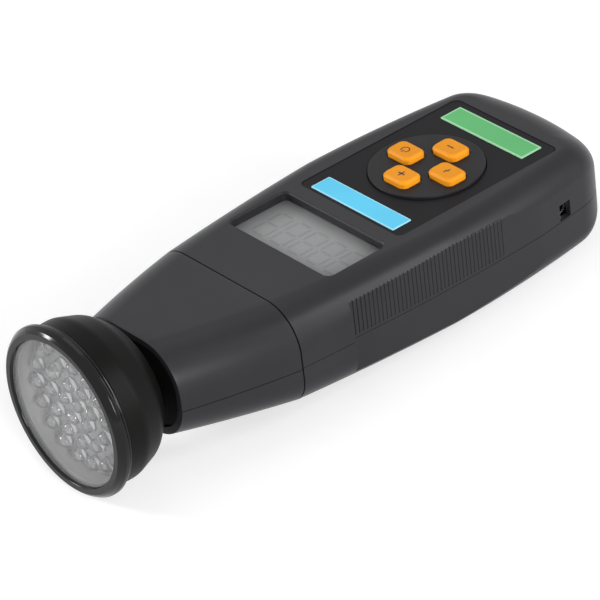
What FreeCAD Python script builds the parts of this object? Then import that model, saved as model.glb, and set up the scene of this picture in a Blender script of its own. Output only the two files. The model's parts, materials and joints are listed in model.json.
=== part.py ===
import FreeCAD, Part
import math
import os
import re
import Sketcher

os.makedirs("parts", exist_ok=True)
Vec = FreeCAD.Vector
doc = FreeCAD.newDocument("stroboscope")
sheet = doc.addObject("Spreadsheet::Sheet", "Sizes")
sheet.Label = "Sizes"
written = []


def size(alias, value):
    """Put one driving dimension, in millimetres, on its own row of the sheet."""
    row = len(written) + 1
    written.append(alias)
    sheet.set("A%d" % row, alias)
    sheet.set("B%d" % row, str(value))
    sheet.setAlias("B%d" % row, alias)


# Whole instrument: X runs from the lamp to the tail, Y across, Z up.
size("total_length", 210)
size("bezel_radius", 29.9)
size("head_axis_drop", 17)
size("case_depth", 36)
size("parting_drop", 19.5)
size("wall", 2.2)
size("bottom_wall", 2.6)
size("play", 0.3)
size("snug", 0.15)
size("fit_gap", 0.05)

# Body case, seen from above: half widths, and places measured from the front of the bezel.
size("nose_start", 28.9)
size("seam_start", 69.8)
size("grip_start", 90.6)
size("widest_start", 133)
size("nose_half_width", 24.3)
size("seam_half_width", 35.2)
size("body_half_width", 37.8)
size("rear_side_radius", 420)
size("tail_radius", 120)
size("tail_corner_radius", 18)

# Roundings of the long edges.
size("seam_top_round", 14.5)
size("body_top_round", 8.5)
size("tail_top_round", 13.5)
size("seam_bottom_round", 12)
size("body_bottom_round", 7)
size("tail_bottom_round", 11.5)
size("nose_top_round", 15.5)
size("nose_bottom_round", 15.5)
size("nose_depth", 34)
size("nose_bulge", 0.6)

# Grip panels let into both sides, with upright ribs above the parting line.
size("grip_length", 82)
size("grip_let_in", 2.0)
size("grip_middle_let_in", 1.2)
size("rib_pitch", 1.6)
size("rib_groove", 0.7)
size("rib_depth", 0.35)
size("rib_run", 64)
size("rib_foot", 1.2)

# Lamp head, all round one axis.
size("lens_opening_radius", 25.3)
size("bezel_length", 3.2)
size("bezel_round", 1.7)
size("bezel_lip", 1.0)
size("clamp_ring_radius", 29)
size("clamp_ring_length", 1.2)
size("head_groove_width", 0.5)
size("head_groove_depth", 1.1)
size("bowl_front_radius", 28.3)
size("bowl_back_radius", 25.5)
size("bowl_end", 26.5)
size("bowl_round", 11)
size("neck_radius", 11)
size("neck_bore_radius", 8.5)
size("back_wall", 2.8)
size("neck_end", 50)
size("lens_thickness", 1.6)
size("lens_seat_width", 1.1)
size("reflector_wall", 1.4)
size("led_plate_start", 8.4)
size("led_plate_thickness", 1.4)
size("led_top", 4.6)
size("led_board_radius", 24.2)
size("led_pitch", 7)
size("led_radius", 2.5)
size("led_height", 8)
size("board_thickness", 1.6)
size("nut_radius", 16)
size("nut_thickness", 5)
size("collar_thickness", 6)
size("collar_set_back", 0.6)

# Display.
size("display_start", 91.4)
size("display_length", 24.4)
size("display_width", 50)
size("display_corner", 2.2)
size("display_recess", 3.2)
size("window_margin", 2.8)
size("window_thickness", 1.2)
size("display_glass_thickness", 2.4)
size("display_glass_margin", 1.4)
size("display_frame_wall", 1.6)

# Overlay panel with its two label strips.
size("overlay_start", 121.6)
size("overlay_length", 70)
size("overlay_width", 50)
size("overlay_corner", 2.5)
size("overlay_thickness", 0.6)
size("overlay_pocket", 0.8)
size("label_thickness", 0.3)
size("blue_label_start", 123)
size("blue_label_length", 8)
size("blue_label_width", 40.5)
size("green_label_start", 179.7)
size("green_label_length", 9)
size("green_label_width", 39.8)

# Keypad: a round disc and four keys in a diamond.
size("keypad_start", 155.8)
size("keypad_radius", 19.5)
size("keypad_rise", 0.7)
size("keypad_flange", 2)
size("keypad_flange_thickness", 1)
size("key_spacing_long", 10.8)
size("key_spacing_cross", 10.2)
size("key_length", 8.6)
size("key_width", 11.4)
size("key_corner", 2.4)
size("key_rise", 2.2)
size("key_bevel", 0.7)
size("key_travel", 0.8)
size("key_flange", 0.7)
size("key_flange_thickness", 0.8)
size("key_stem", 2.8)
size("switch_side", 6)
size("switch_height", 3.6)
size("switch_well", 2.2)
size("switch_gap", 0.2)

# Main circuit board and what stands on it.
size("board_drop", 9)
size("board_start", 82)
size("board_length", 107)
size("board_width", 54)
size("post_radius", 3)
size("post_front_start", 84.5)
size("post_front_offset", 24)
size("post_rear_start", 184)
size("post_rear_offset", 14)
size("screw_radius", 1.1)
size("screw_head_radius", 2.2)
size("screw_head_height", 1.6)
size("board_screw_length", 6)
size("chip_length", 12)
size("chip_height", 2)
size("driver_chip_length", 8)
size("capacitor_radius", 5)
size("capacitor_length", 14)

# Side socket for a plug of 3.5 mm.
size("socket_start", 181.2)
size("socket_hole_width", 5.2)
size("socket_hole_height", 6)
size("socket_hole_lift", 0.4)
size("socket_bore_radius", 1.8)
size("socket_bore_length", 11)
size("socket_body_length", 12)
size("socket_set_back", 3.2)
size("socket_body_width", 8)

# Battery bay, cells, contacts and door.
size("cell_radius", 7.1)
size("cell_length", 48.5)
size("cell_tip_radius", 2.7)
size("cell_tip_length", 1.6)
size("cell_pitch", 14.6)
size("cell_count", 4)
size("bay_start", 118)
size("bay_wall", 1.4)
size("contact_room", 2.4)
size("contact_thickness", 0.4)
size("contact_bow", 1.7)
size("contact_height", 10)
size("tail_width", 2)
size("contact_side", 11)
size("contact_foot", 5)
size("door_thickness", 1.6)
size("door_ledge", 1.6)
size("door_tab_width", 8)
size("door_tab_reach", 2.4)
size("door_tab_thickness", 1)
size("latch_width", 12)
size("latch_height", 4)
size("latch_thickness", 1)
size("latch_gap", 0.6)

# Screws of the body case and of the nose.
size("case_screw_front_start", 77.7)
size("case_screw_front_offset", 20)
size("case_screw_rear_start", 193)
size("case_screw_rear_offset", 15)
size("case_screw_radius", 1.4)
size("case_screw_head_radius", 2.6)
size("case_screw_head_height", 2)
size("case_screw_length", 24)
size("screw_recess_depth", 6)
size("boss_radius", 3.6)
size("recess_boss_radius", 4.4)
size("screw_recess_radius", 3)
size("nose_screw_start", 57)
size("nose_screw_offset", 12)
size("nose_parting_step", 0.5)
size("lip_length", 3)
size("lip_thickness", 1.2)
size("lead_radius", 0.9)
size("lead_offset", 2.5)
size("lead_bend", 4)
size("lead_end_start", 86)

# How many flat steps a round form gets.
size("ring_sides", 48)
size("led_sides", 8)
size("cell_sides", 20)
size("lead_sides", 6)
size("screw_sides", 8)
size("post_sides", 12)
size("side_steps", 8)
size("rear_steps", 4)
size("corner_steps", 4)
size("tail_steps", 3)
size("round_steps", 5)
size("nose_steps", 4)

doc.recompute()
pieces = []
FRONT = "(-total_length / 2)"
DECK = "(bezel_radius + head_axis_drop)"
BOARD_TOP = "(bezel_radius + head_axis_drop - board_drop)"


def val(alias):
    """Read a driving dimension back from the sheet."""
    return float(sheet.get(alias))


def formula(text):
    """Point each alias in an expression at its cell in the sheet."""
    return re.sub(r"[a-z_]+", lambda m: "Sizes." + m.group() if m.group() in written else m.group(), text)


front = -val("total_length") / 2
deck = val("bezel_radius") + val("head_axis_drop")
axis_height = val("bezel_radius")
parting = deck - val("parting_drop")
nose_parting = parting - val("nose_parting_step")
case_floor = deck - val("case_depth")
board_top = deck - val("board_drop")
board_bottom = board_top - val("board_thickness")
wall = val("wall")


def at(alias):
    """Turn a place measured from the front of the bezel into an X coordinate."""
    return front + val(alias)


# Helpers for pieces made from sketches whose corners are bound to the sheet.

def new_body(label):
    """Start a named body that is written as one piece."""
    body = doc.addObject("PartDesign::Body", label)
    body.Label = label
    pieces.append(body)
    return body


def set_place(body, x="0", y="0", z="0"):
    """Bind where a body stands."""
    for axis, text in zip("xyz", (x, y, z)):
        body.setExpression("Placement.Base." + axis, formula(text))


def sketch_on(body, role, outlines, circles=()):
    """Draw closed outlines and circles on one of the body's own planes, each corner bound."""
    sketch = body.newObject("Sketcher::SketchObject", body.Name + "_sketch")
    plane = [f for f in body.Origin.OriginFeatures if f.Role == role][0]
    sketch.AttachmentSupport = (plane, [""])
    sketch.MapMode = "FlatFace"
    for corners in outlines:
        first = sketch.GeometryCount
        count = len(corners)
        for index in range(count):
            ends = [2 * math.pi * (index + step) / count for step in (0, 1)]
            start, end = [Vec(math.cos(angle), math.sin(angle), 0) for angle in ends]
            sketch.addGeometry(Part.LineSegment(start, end))
        for index in range(count):
            following = first + (index + 1) % count
            sketch.addConstraint(Sketcher.Constraint("Coincident", first + index, 2, following, 1))
        for index, corner in enumerate(corners):
            for kind, text in zip(("DistanceX", "DistanceY"), corner):
                made = sketch.addConstraint(Sketcher.Constraint(kind, -1, 1, first + index, 1, 1.0))
                sketch.setExpression("Constraints[%d]" % made, formula(text))
    for x, y, radius in circles:
        round_one = sketch.addGeometry(Part.Circle(Vec(0, 0, 0), Vec(0, 0, 1), 1.0))
        for kind, text in (("DistanceX", x), ("DistanceY", y)):
            made = sketch.addConstraint(Sketcher.Constraint(kind, -1, 1, round_one, 3, 1.0))
            sketch.setExpression("Constraints[%d]" % made, formula(text))
        made = sketch.addConstraint(Sketcher.Constraint("Radius", round_one, 1.0))
        sketch.setExpression("Constraints[%d]" % made, formula(radius))
    return sketch


def oblong(x_low, x_high, width):
    """Corners of a rectangle centred across the instrument."""
    half = "(%s) / 2" % width
    return [(x_low, "-" + half), (x_high, "-" + half), (x_high, half), (x_low, half)]


def padded(label, role, outlines, depth, circles=()):
    """A flat piece: its outline pushed out by a depth."""
    body = new_body(label)
    sketch = sketch_on(body, role, outlines, circles)
    pad = body.newObject("PartDesign::Pad", label + "_pad")
    pad.Profile = sketch
    pad.setExpression("Length", formula(depth))
    doc.recompute()
    return body


def rounded(body, radius, wanted, kind="Fillet"):
    """Round or bevel the edges of a body that a test picks out."""
    base = body.Tip
    names = ["Edge%d" % (i + 1) for i, edge in enumerate(base.Shape.Edges) if wanted(edge)]
    feature = body.newObject("PartDesign::" + kind, body.Name + "_" + kind.lower())
    feature.Base = (base, names)
    feature.setExpression("Radius" if kind == "Fillet" else "Size", formula(radius))
    doc.recompute()
    return body


def is_upright(edge):
    """True for a straight edge that runs along Z."""
    return edge.Curve.TypeId == "Part::GeomLine" and abs(edge.tangentAt(edge.FirstParameter).z) > 0.99


def plate(label, x_low, x_high, width, z_low, depth, corner=None, circles=()):
    """A flat plate, centred across the instrument, with round upright corners."""
    body = padded(label, "XY_Plane", [oblong(x_low, x_high, width)], depth, circles)
    set_place(body, z=z_low)
    if corner:
        rounded(body, corner, is_upright)
    return body


# Helpers for the moulded shapes.

def piece(label, shape):
    """Keep a shape made with Part's own functions as one named piece."""
    feature = doc.addObject("Part::Feature", label)
    feature.Label = label
    feature.Shape = shape
    pieces.append(feature)
    return feature


def block(x_low, x_high, y_low, y_high, z_low, z_high):
    """A box between two corners."""
    return Part.makeBox(x_high - x_low, y_high - y_low, z_high - z_low, Vec(x_low, y_low, z_low))


def fused(shapes):
    """One solid from several that overlap or touch."""
    total = shapes[0].multiFuse(shapes[1:])
    return total.removeSplitter()


def polygon(points):
    """A flat face with straight edges between points."""
    return Part.Face(Part.makePolygon(points + points[:1]))


def flat_faces(a, b, c, d):
    """One flat face on four corners, or two where they don't lie in a plane; repeated corners drop out."""
    corners = []
    for point in (a, b, c, d):
        if not any(point.isEqual(other, 1e-6) for other in corners):
            corners.append(point)
    if len(corners) < 3:
        return []
    if len(corners) == 3:
        return [polygon(corners)]
    lean = abs((b - a).cross(c - a).dot(d - a))
    if lean < 1e-6:
        return [polygon(corners)]
    return [polygon([a, b, c]), polygon([a, c, d])]


def skinned(rings, looped=False):
    """A solid with flat facets between rings of points, closed by end faces or on itself."""
    faces = []
    following = rings[1:] + rings[:1] if looped else rings[1:]
    for low, high in zip(rings, following):
        count = len(low)
        for i in range(count):
            j = (i + 1) % count
            faces += flat_faces(low[i], low[j], high[j], high[i])
    if not looped:
        faces += [polygon(rings[0]), polygon(rings[-1])]
    shell = Part.Shell(faces)
    shell.sewShape()
    solid = Part.Solid(shell)
    if solid.Volume < 0:
        solid.reverse()
    return solid.removeSplitter()


def round_ring(x, radius, sides, y=0, z=0):
    """Points evenly round a line that runs along X."""
    turns = [2 * math.pi * k / sides for k in range(sides)]
    return [Vec(x, y + radius * math.cos(turn), z + radius * math.sin(turn)) for turn in turns]


def upright(x, y, radius, z_low, z_high, sides="post_sides"):
    """A vertical post, round in as many flats as the sheet gives."""
    count = int(val(sides))
    turns = [2 * math.pi * k / count for k in range(count)]
    points = [Vec(x + radius * math.cos(turn), y + radius * math.sin(turn), z_low) for turn in turns]
    return polygon(points).extrude(Vec(0, 0, z_high - z_low))


def lying(radius, x_low, x_high, y, z, sides="ring_sides"):
    """The same along the instrument."""
    return polygon(round_ring(x_low, radius, int(val(sides)), y, z)).extrude(Vec(x_high - x_low, 0, 0))


def turned(label, profile, sides="ring_sides"):
    """A piece turned about the lamp axis, from (distance behind the bezel's front, radius)."""
    rings = [round_ring(x, radius, int(val(sides))) for x, radius in profile]
    made = piece(label, skinned(rings, looped=True))
    made.setExpression("Placement.Base.x", formula(FRONT))
    made.setExpression("Placement.Base.z", formula("bezel_radius"))
    return made


def rounded_corner(centre, radius, from_angle, to_angle, steps):
    """Points of a round corner, as (distance, radius) pairs for a turned profile."""
    angles = [math.radians(from_angle + (to_angle - from_angle) * k / steps) for k in range(steps + 1)]
    return [(centre[0] + radius * math.cos(a), centre[1] + radius * math.sin(a)) for a in angles]


def arc(start, middle, end):
    """An arc edge through three points."""
    return Part.Arc(start, middle, end).toShape()


def side_y(x, inset):
    """Half width of the body case at X, as two arcs that meet where it is widest."""
    widest = at("widest_start")
    half = val("body_half_width")
    if x >= widest:
        radius = val("rear_side_radius")
    else:
        reach = widest - at("seam_start")
        sag = half - val("seam_half_width")
        radius = (reach ** 2 + sag ** 2) / (2 * sag)
    return half - radius + math.sqrt((radius - inset) ** 2 - (x - widest) ** 2)


def circles_meet(c1, r1, c2, r2):
    """The upper of the two points where circles about c1 and c2 cross."""
    span = c2 - c1
    along = (r1 ** 2 - r2 ** 2 + span.Length ** 2) / (2 * span.Length)
    rise = math.sqrt(r1 ** 2 - along ** 2)
    unit = span / span.Length
    sideways = Vec(-unit.y, unit.x, 0)
    return max((c1 + unit * along + sideways * s for s in (rise, -rise)), key=lambda p: p.y)


def outline_stations():
    """Where the outline is sampled: each as (place on it, top round, bottom round), one side only."""
    widest = at("widest_start")
    start = at("seam_start")
    side_centre = Vec(widest, val("body_half_width") - val("rear_side_radius"), 0)
    tail_centre = Vec(-front - val("tail_radius"), 0, 0)
    corner = val("tail_corner_radius")
    corner_centre = circles_meet(side_centre, val("rear_side_radius") - corner,
                                 tail_centre, val("tail_radius") - corner)
    rounds = [[val("%s_%s_round" % (where, level)) for level in ("top", "bottom")]
              for where in ("seam", "body", "tail")]

    def blend(first, second, share):
        """Rounding radii part of the way from one place to another."""
        return [a + (b - a) * share for a, b in zip(rounds[first], rounds[second])]

    def along(centre, angle, radius):
        """A function that gives the outline's point for any inset."""
        out = Vec(math.cos(angle), math.sin(angle), 0)
        return lambda inset: centre + out * (radius - inset)

    def beside(x):
        """The same for a place on the long side, which keeps its X."""
        return lambda inset: Vec(x, side_y(x, inset), 0)

    steps = int(val("side_steps"))
    stations = [(beside(start + (widest - start) * k / steps), *blend(0, 1, k / steps)) for k in range(steps)]
    corner_from = (corner_centre - side_centre)
    corner_to = (corner_centre - tail_centre)
    angle_from = math.atan2(corner_from.y, corner_from.x)
    angle_to = math.atan2(corner_to.y, corner_to.x)
    rear_end = corner_centre.x + corner * math.cos(angle_from)
    steps = int(val("rear_steps"))
    stations += [(beside(widest + (rear_end - widest) * k / steps), *blend(1, 1, 0)) for k in range(steps)]
    steps = int(val("corner_steps"))
    for k in range(steps + 1):
        angle = angle_from + (angle_to - angle_from) * k / steps
        stations.append((along(corner_centre, angle, corner), *blend(1, 2, k / steps)))
    steps = int(val("tail_steps"))
    for k in range(1, steps + 1):
        angle = angle_to * (1 - k / steps)
        stations.append((along(tail_centre, angle, val("tail_radius")), *blend(2, 2, 0)))
    return stations


def body_form(inset):
    """The body case as a solid, drawn in by an inset on every side but the seam."""
    top = deck - inset
    bottom = case_floor + inset * val("bottom_wall") / wall
    stations = outline_stations()
    steps = int(val("round_steps"))
    rings = []
    for level, share in ([("bottom", 1 - k / steps) for k in range(steps + 1)]
                         + [("top", k / steps) for k in range(steps + 1)]):
        turn = share * math.pi / 2
        ring = []
        for place, top_round, bottom_round in stations:
            radius = (top_round if level == "top" else bottom_round) - inset
            point = place(inset + radius * (1 - math.cos(turn)))
            rise = radius * (1 - math.sin(turn))
            ring.append(Vec(point.x, point.y, top - rise if level == "top" else bottom + rise))
        other_side = [Vec(p.x, -p.y, p.z) for p in reversed(ring[:-1])]
        rings.append(ring + other_side)
    form = skinned(rings)
    panels = [grip_cutter(inset, side) for side in (1, -1)]
    return form.cut(panels[0]).cut(panels[1])


def grip_y(x, inset):
    """Half width between the grip panels at X: an arc through three set-in points."""
    points = [Vec(px, py, 0) for px, py in grip_points(inset)]
    circle = Part.Arc(*points).toShape().Curve
    return circle.Center.y + math.sqrt(circle.Radius ** 2 - (x - circle.Center.x) ** 2)


def grip_points(inset):
    """Where the panel starts, is widest, and runs out to nothing, seen from above."""
    start = at("grip_start")
    end = start + val("grip_length")
    middle = (start + end) / 2
    return ((start, side_y(start, 0) - val("grip_let_in") - inset),
            (middle, side_y(middle, 0) - val("grip_middle_let_in") - inset),
            (end, side_y(end, 0) - inset + 0.02))


def grip_cutter(inset, side):
    """What a grip panel takes off one side of the case, top to bottom."""
    low, high = grip_points(inset)[0], grip_points(inset)[2]
    steps = int(val("side_steps"))
    xs = [low[0] + (high[0] - low[0]) * k / steps for k in range(steps + 1)]
    far = val("body_half_width") + 5
    corners = [(low[0] - inset, far), (low[0] - inset, low[1])] if inset else [(low[0], far)]
    corners += [(x, grip_y(x, inset)) for x in xs] + [(high[0], far)]
    points = [Vec(x, side * y, case_floor - 1) for x, y in corners]
    return polygon(points).extrude(Vec(0, 0, val("case_depth") + 2))


def rib_grooves():
    """The upright grooves between the grip's ribs, on both sides."""
    count = int(val("rib_run") / val("rib_pitch"))
    low = parting + val("rib_foot")
    tools = []
    for index in range(count):
        x = at("grip_start") + val("rib_pitch") * (index + 0.8)
        y = grip_y(x, 0) - val("rib_depth")
        for y_low, y_high in ((y, val("body_half_width") + 1), (-val("body_half_width") - 1, -y)):
            tools.append(block(x, x + val("rib_groove"), y_low, y_high, low, deck))
    return Part.makeCompound(tools)


def section(x, half_width, z_top, z_bottom, r_top, r_bottom):
    """Points of a rounded rectangle across the nose."""
    steps = int(val("round_steps"))
    points = []
    for side, first, radius in ((1, 0, r_top), (-1, 90, r_top), (-1, 180, r_bottom), (1, 270, r_bottom)):
        cy = side * (half_width - radius)
        cz = z_top - radius if first < 180 else z_bottom + radius
        turns = [math.radians(first + 90 * k / steps) for k in range(steps + 1)]
        points += [Vec(x, cy + radius * math.cos(turn), cz + radius * math.sin(turn)) for turn in turns]
    return points


def nose_form(inset):
    """The nose as a solid that grows from the front face to the seam, slightly bulged."""
    start, seam = at("nose_start"), at("seam_start")
    near = (val("nose_half_width"), deck, deck - val("nose_depth"), val("nose_top_round"), val("nose_bottom_round"))
    far = (val("seam_half_width"), deck, case_floor, val("seam_top_round"), val("seam_bottom_round"))
    floor_inset = inset * val("bottom_wall") / wall
    steps = int(val("nose_steps"))
    rings = []
    for k in range(steps + 1):
        share = k / steps
        half, top, bottom, r_top, r_bottom = [a + (b - a) * share for a, b in zip(near, far)]
        half += val("nose_bulge") * 4 * share * (1 - share)
        rings.append(section(start + (seam - start) * share, half - inset, top - inset,
                             bottom + floor_inset, r_top - inset, r_bottom - inset))
    return skinned(rings)


def ring_form(outer, inner, x_low, x_high):
    """The part of a hollow form that lies between two places along the instrument."""
    slab = block(x_low, x_high, -100, 100, -100, 100)
    return outer.common(slab).cut(inner)


def screw(x, y, z_seat, length, radius, head_radius, head_height):
    """A pan-head screw whose head lies under its seat and whose shank points up."""
    head = upright(x, y, head_radius, z_seat - head_height, z_seat)
    slot = block(x - head_radius, x + head_radius, y - 0.3, y + 0.3, z_seat - head_height, z_seat - head_height + 0.7)
    return fused([head.cut(slot), upright(x, y, radius, z_seat - 0.1, z_seat + length, "screw_sides")])


def mirrored_places(start, offset):
    """Two places, one on each side."""
    return [(at(start), side * val(offset)) for side in (1, -1)]


# Case: the outer and inner forms are the same shape drawn in by the wall.

body_outer = body_form(0)
body_inner = body_form(wall)
nose_outer = nose_form(0)
nose_inner = nose_form(wall)
above = block(-200, 200, -100, 100, parting, 200)
below = block(-200, 200, -100, 100, -100, parting)
nose_above = block(-200, 200, -100, 100, nose_parting, 200)
nose_below = block(-200, 200, -100, 100, -100, nose_parting)
nose_screw_places = mirrored_places("nose_screw_start", "nose_screw_offset")
case_screw_places = (mirrored_places("case_screw_front_start", "case_screw_front_offset")
                     + mirrored_places("case_screw_rear_start", "case_screw_rear_offset"))
board_screw_places = (mirrored_places("post_front_start", "post_front_offset")
                      + mirrored_places("post_rear_start", "post_rear_offset"))
seat = case_floor + val("screw_recess_depth")
core = val("case_screw_radius") + val("fit_gap")


def lower_bosses(places, split, form):
    """Posts that hold screw heads from below, and the recesses cut into them."""
    posts = [upright(x, y, val("recess_boss_radius"), case_floor, split).common(form) for x, y in places]
    cuts = [upright(x, y, val("screw_recess_radius"), case_floor - 1, seat) for x, y in places]
    cuts += [upright(x, y, core, seat - 1, split + 1, "screw_sides") for x, y in places]
    return posts, cuts


def upper_bosses(places, split, form):
    """Posts that take screw threads, and their core holes."""
    posts = [upright(x, y, val("boss_radius"), split, deck).common(form) for x, y in places]
    depth = val("case_screw_length") + val("play")
    cuts = [upright(x, y, core, split - 1, seat + depth, "screw_sides") for x, y in places]
    return posts, cuts


def make_nose():
    """Both halves of the nose, each with a lip that enters the body case."""
    seam = at("seam_start")
    lip_in = wall + val("snug") + val("lip_thickness")
    root = ring_form(nose_inner, nose_form(lip_in), seam - val("lip_length"), seam)
    tongue_outer = body_form(wall + val("snug"))
    tongue_inner = body_form(lip_in)
    tongue = ring_form(tongue_outer, tongue_inner, seam, seam + val("lip_length"))
    shell = fused([nose_outer.cut(nose_inner), root, tongue])
    posts, cuts = upper_bosses(nose_screw_places, nose_parting, nose_outer)
    piece("nose_upper", fused([shell.common(nose_above)] + posts).cut(Part.makeCompound(cuts)))
    posts, cuts = lower_bosses(nose_screw_places, nose_parting, nose_outer)
    piece("nose_lower", fused([shell.common(nose_below)] + posts).cut(Part.makeCompound(cuts)))


def make_nose_collar():
    """The black plate that closes the nose round the neck of the head."""
    x_low = at("nose_start") + val("collar_set_back")
    x_high = x_low + val("collar_thickness")
    slab = block(x_low, x_high, -100, 100, -100, 100)
    bore = lying(val("neck_radius") + val("snug"), x_low - 1, x_high + 1, 0, axis_height)
    piece("nose_collar", nose_form(wall + val("snug")).common(slab).cut(bore))


def display_block(grow, z_low, z_high):
    """A block round the display opening, grown by a margin on every side."""
    x_low = at("display_start") - grow
    x_high = at("display_start") + val("display_length") + grow
    half = val("display_width") / 2 + grow
    solid = block(x_low, x_high, -half, half, z_low, z_high)
    corners = [edge for edge in solid.Edges if is_upright(edge)]
    return solid.makeFillet(val("display_corner"), corners)


def socket_middle():
    """X, Y of the side surface and Z at the middle of the socket hole."""
    x = at("socket_start") + val("socket_hole_width") / 2
    z = parting + val("socket_hole_lift") + val("socket_hole_height") / 2
    return x, -side_y(x, 0), z


def make_upper_shell():
    """Upper half of the body: ribbed grips, display opening, keypad hole, overlay pocket."""
    shell = body_outer.cut(body_inner).common(above)
    frame = display_block(val("window_margin"), deck - val("display_recess"), deck - 1).common(body_outer)
    posts = [upright(x, y, val("post_radius"), board_top, deck - 1) for x, y in board_screw_places]
    bosses, cuts = upper_bosses(case_screw_places, parting, body_outer)
    shell = fused([shell, frame] + posts + bosses)
    x, y, z = socket_middle()
    half_wide, half_high = val("socket_hole_width") / 2, val("socket_hole_height") / 2
    pocket = block(at("overlay_start"), at("overlay_start") + val("overlay_length"),
                   -val("overlay_width") / 2, val("overlay_width") / 2, deck - val("overlay_pocket"), deck + 1)
    corners = [edge for edge in pocket.Edges if is_upright(edge)]
    cuts += [display_block(0, deck - val("display_recess") - 1, deck + 1),
             pocket.makeFillet(val("overlay_corner"), corners),
             upright(at("keypad_start"), 0, val("keypad_radius") + val("play"), deck - 5, deck + 1, "ring_sides"),
             block(x - half_wide, x + half_wide, y - 3, y + 6, z - half_high, z + half_high)]
    depth = board_top + val("board_screw_length")
    core_radius = val("screw_radius") + val("fit_gap")
    cuts += [upright(px, py, core_radius, board_top - 1, depth, "screw_sides") for px, py in board_screw_places]
    piece("upper_shell", shell.cut(Part.makeCompound(cuts)).cut(rib_grooves()))


# Battery bay: everything in it is placed from these.

bay_floor = case_floor + val("bottom_wall")
cell_z = bay_floor + val("play") + val("cell_radius")
bay_low = at("bay_start") + val("bay_wall")
bay_high = bay_low + val("cell_length") + val("cell_tip_length") + 2 * val("contact_room")
bay_half = val("cell_count") * val("cell_pitch") / 2 + val("play")
bay_top = cell_z + val("cell_radius") + val("play")
door_x = bay_low - val("door_ledge") + val("play")
contact_z = case_floor + val("contact_foot")


def cell_y(index):
    """Place of one cell across the bay."""
    return (index - (val("cell_count") - 1) / 2) * val("cell_pitch")


def tab_places():
    """Where the door's two tabs are, between cells so that they swing clear."""
    return [side * val("cell_pitch") for side in (1, -1)]


def make_lower_shell():
    """Lower half of the body: battery bay, door seat, screw posts."""
    shell = body_outer.cut(body_inner).common(below)
    skin = val("bay_wall")
    bay = block(bay_low - skin, bay_high + skin, -bay_half - skin, bay_half + skin, case_floor + 1, bay_top + skin)
    bosses, cuts = lower_bosses(case_screw_places, parting, body_outer)
    shell = fused([shell, bay] + bosses)
    ledge = val("door_ledge")
    cuts += [block(bay_low, bay_high, -bay_half, bay_half, case_floor - 1, bay_top),
             block(bay_low - ledge, bay_high + ledge, -bay_half - ledge, bay_half + ledge,
                   case_floor - 1, case_floor + val("door_thickness"))]
    half_tab = val("door_tab_width") / 2 + 0.4
    window_top = case_floor + val("contact_foot") - 0.2
    for y in tab_places():
        cuts.append(block(bay_low - skin - 1, bay_low + 1, y - half_tab, y + half_tab, bay_floor, window_top))
        cuts.append(block(bay_low - ledge, bay_low + 1, y - half_tab, y + half_tab, case_floor, bay_floor + 0.01))
    for y in (cell_y(0), cell_y(3)):
        slot = val("tail_width") / 2 + val("play")
        cuts.append(block(bay_low - 0.01, bay_low + 1, y - slot, y + slot, bay_top - 1, bay_top + skin + 1))
    piece("lower_shell", shell.cut(Part.makeCompound(cuts)))


def make_battery_cells():
    """Four round cells side by side, each turned the other way from the one beside it."""
    cells = []
    low = bay_low + val("contact_room")
    length, tip = val("cell_length"), val("cell_tip_length")
    for index in range(int(val("cell_count"))):
        y = cell_y(index)
        tip_first = index % 2 == 0
        can_low = low + tip if tip_first else low
        tip_low = low if tip_first else low + length - 0.1
        can = lying(val("cell_radius"), can_low, can_low + length, y, cell_z, "cell_sides")
        cells.append(fused([can, lying(val("cell_tip_radius"), tip_low, tip_low + tip + 0.1, y, cell_z, "screw_sides")]))
    piece("battery_cells", Part.makeCompound(cells))


def contact(y_low, y_high, x_wall, inward, tail_at=None):
    """A strip against one end of the bay, with a bowed leaf towards each cell."""
    thick = val("contact_thickness")
    low, high = sorted((x_wall, x_wall + inward * thick))
    parts = [block(low, high, y_low, y_high, contact_z, contact_z + val("contact_height"))]
    count = round((y_high - y_low) / val("cell_pitch"))
    for index in range(max(count, 1)):
        middle = (y_low + y_high) / 2 + (index - (max(count, 1) - 1) / 2) * val("cell_pitch")
        bow = val("contact_bow")
        x_flat = x_wall + inward * thick
        outline = [(x_flat - inward * 0.05, cell_z - 4), (x_flat + inward * bow, cell_z - 0.8),
                   (x_flat + inward * bow, cell_z + 0.8), (x_flat - inward * 0.05, cell_z + 4)]
        points = [Vec(px, middle - 2, pz) for px, pz in outline]
        parts.append(Part.Face(Part.makePolygon(points + points[:1])).extrude(Vec(0, 4, 0)))
    if tail_at is not None:
        half = val("tail_width") / 2
        parts.append(block(low, high, tail_at - half, tail_at + half,
                           contact_z + val("contact_height") - 0.1, board_bottom))
    return fused(parts)


def make_contacts():
    """Strips that join the four cells in a row, with two tails up to the board."""
    half = val("contact_side") / 2
    pair = val("cell_pitch") / 2 + half
    ends = [contact(cell_y(i) - half, cell_y(i) + half, bay_low, 1, cell_y(i)) for i in (0, 3)]
    piece("front_contacts", Part.makeCompound(ends + [contact(-pair, pair, bay_low, 1)]))
    middles = [(cell_y(0) + cell_y(1)) / 2, (cell_y(2) + cell_y(3)) / 2]
    piece("rear_contacts", Part.makeCompound([contact(m - pair, m + pair, bay_high, -1) for m in middles]))


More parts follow.
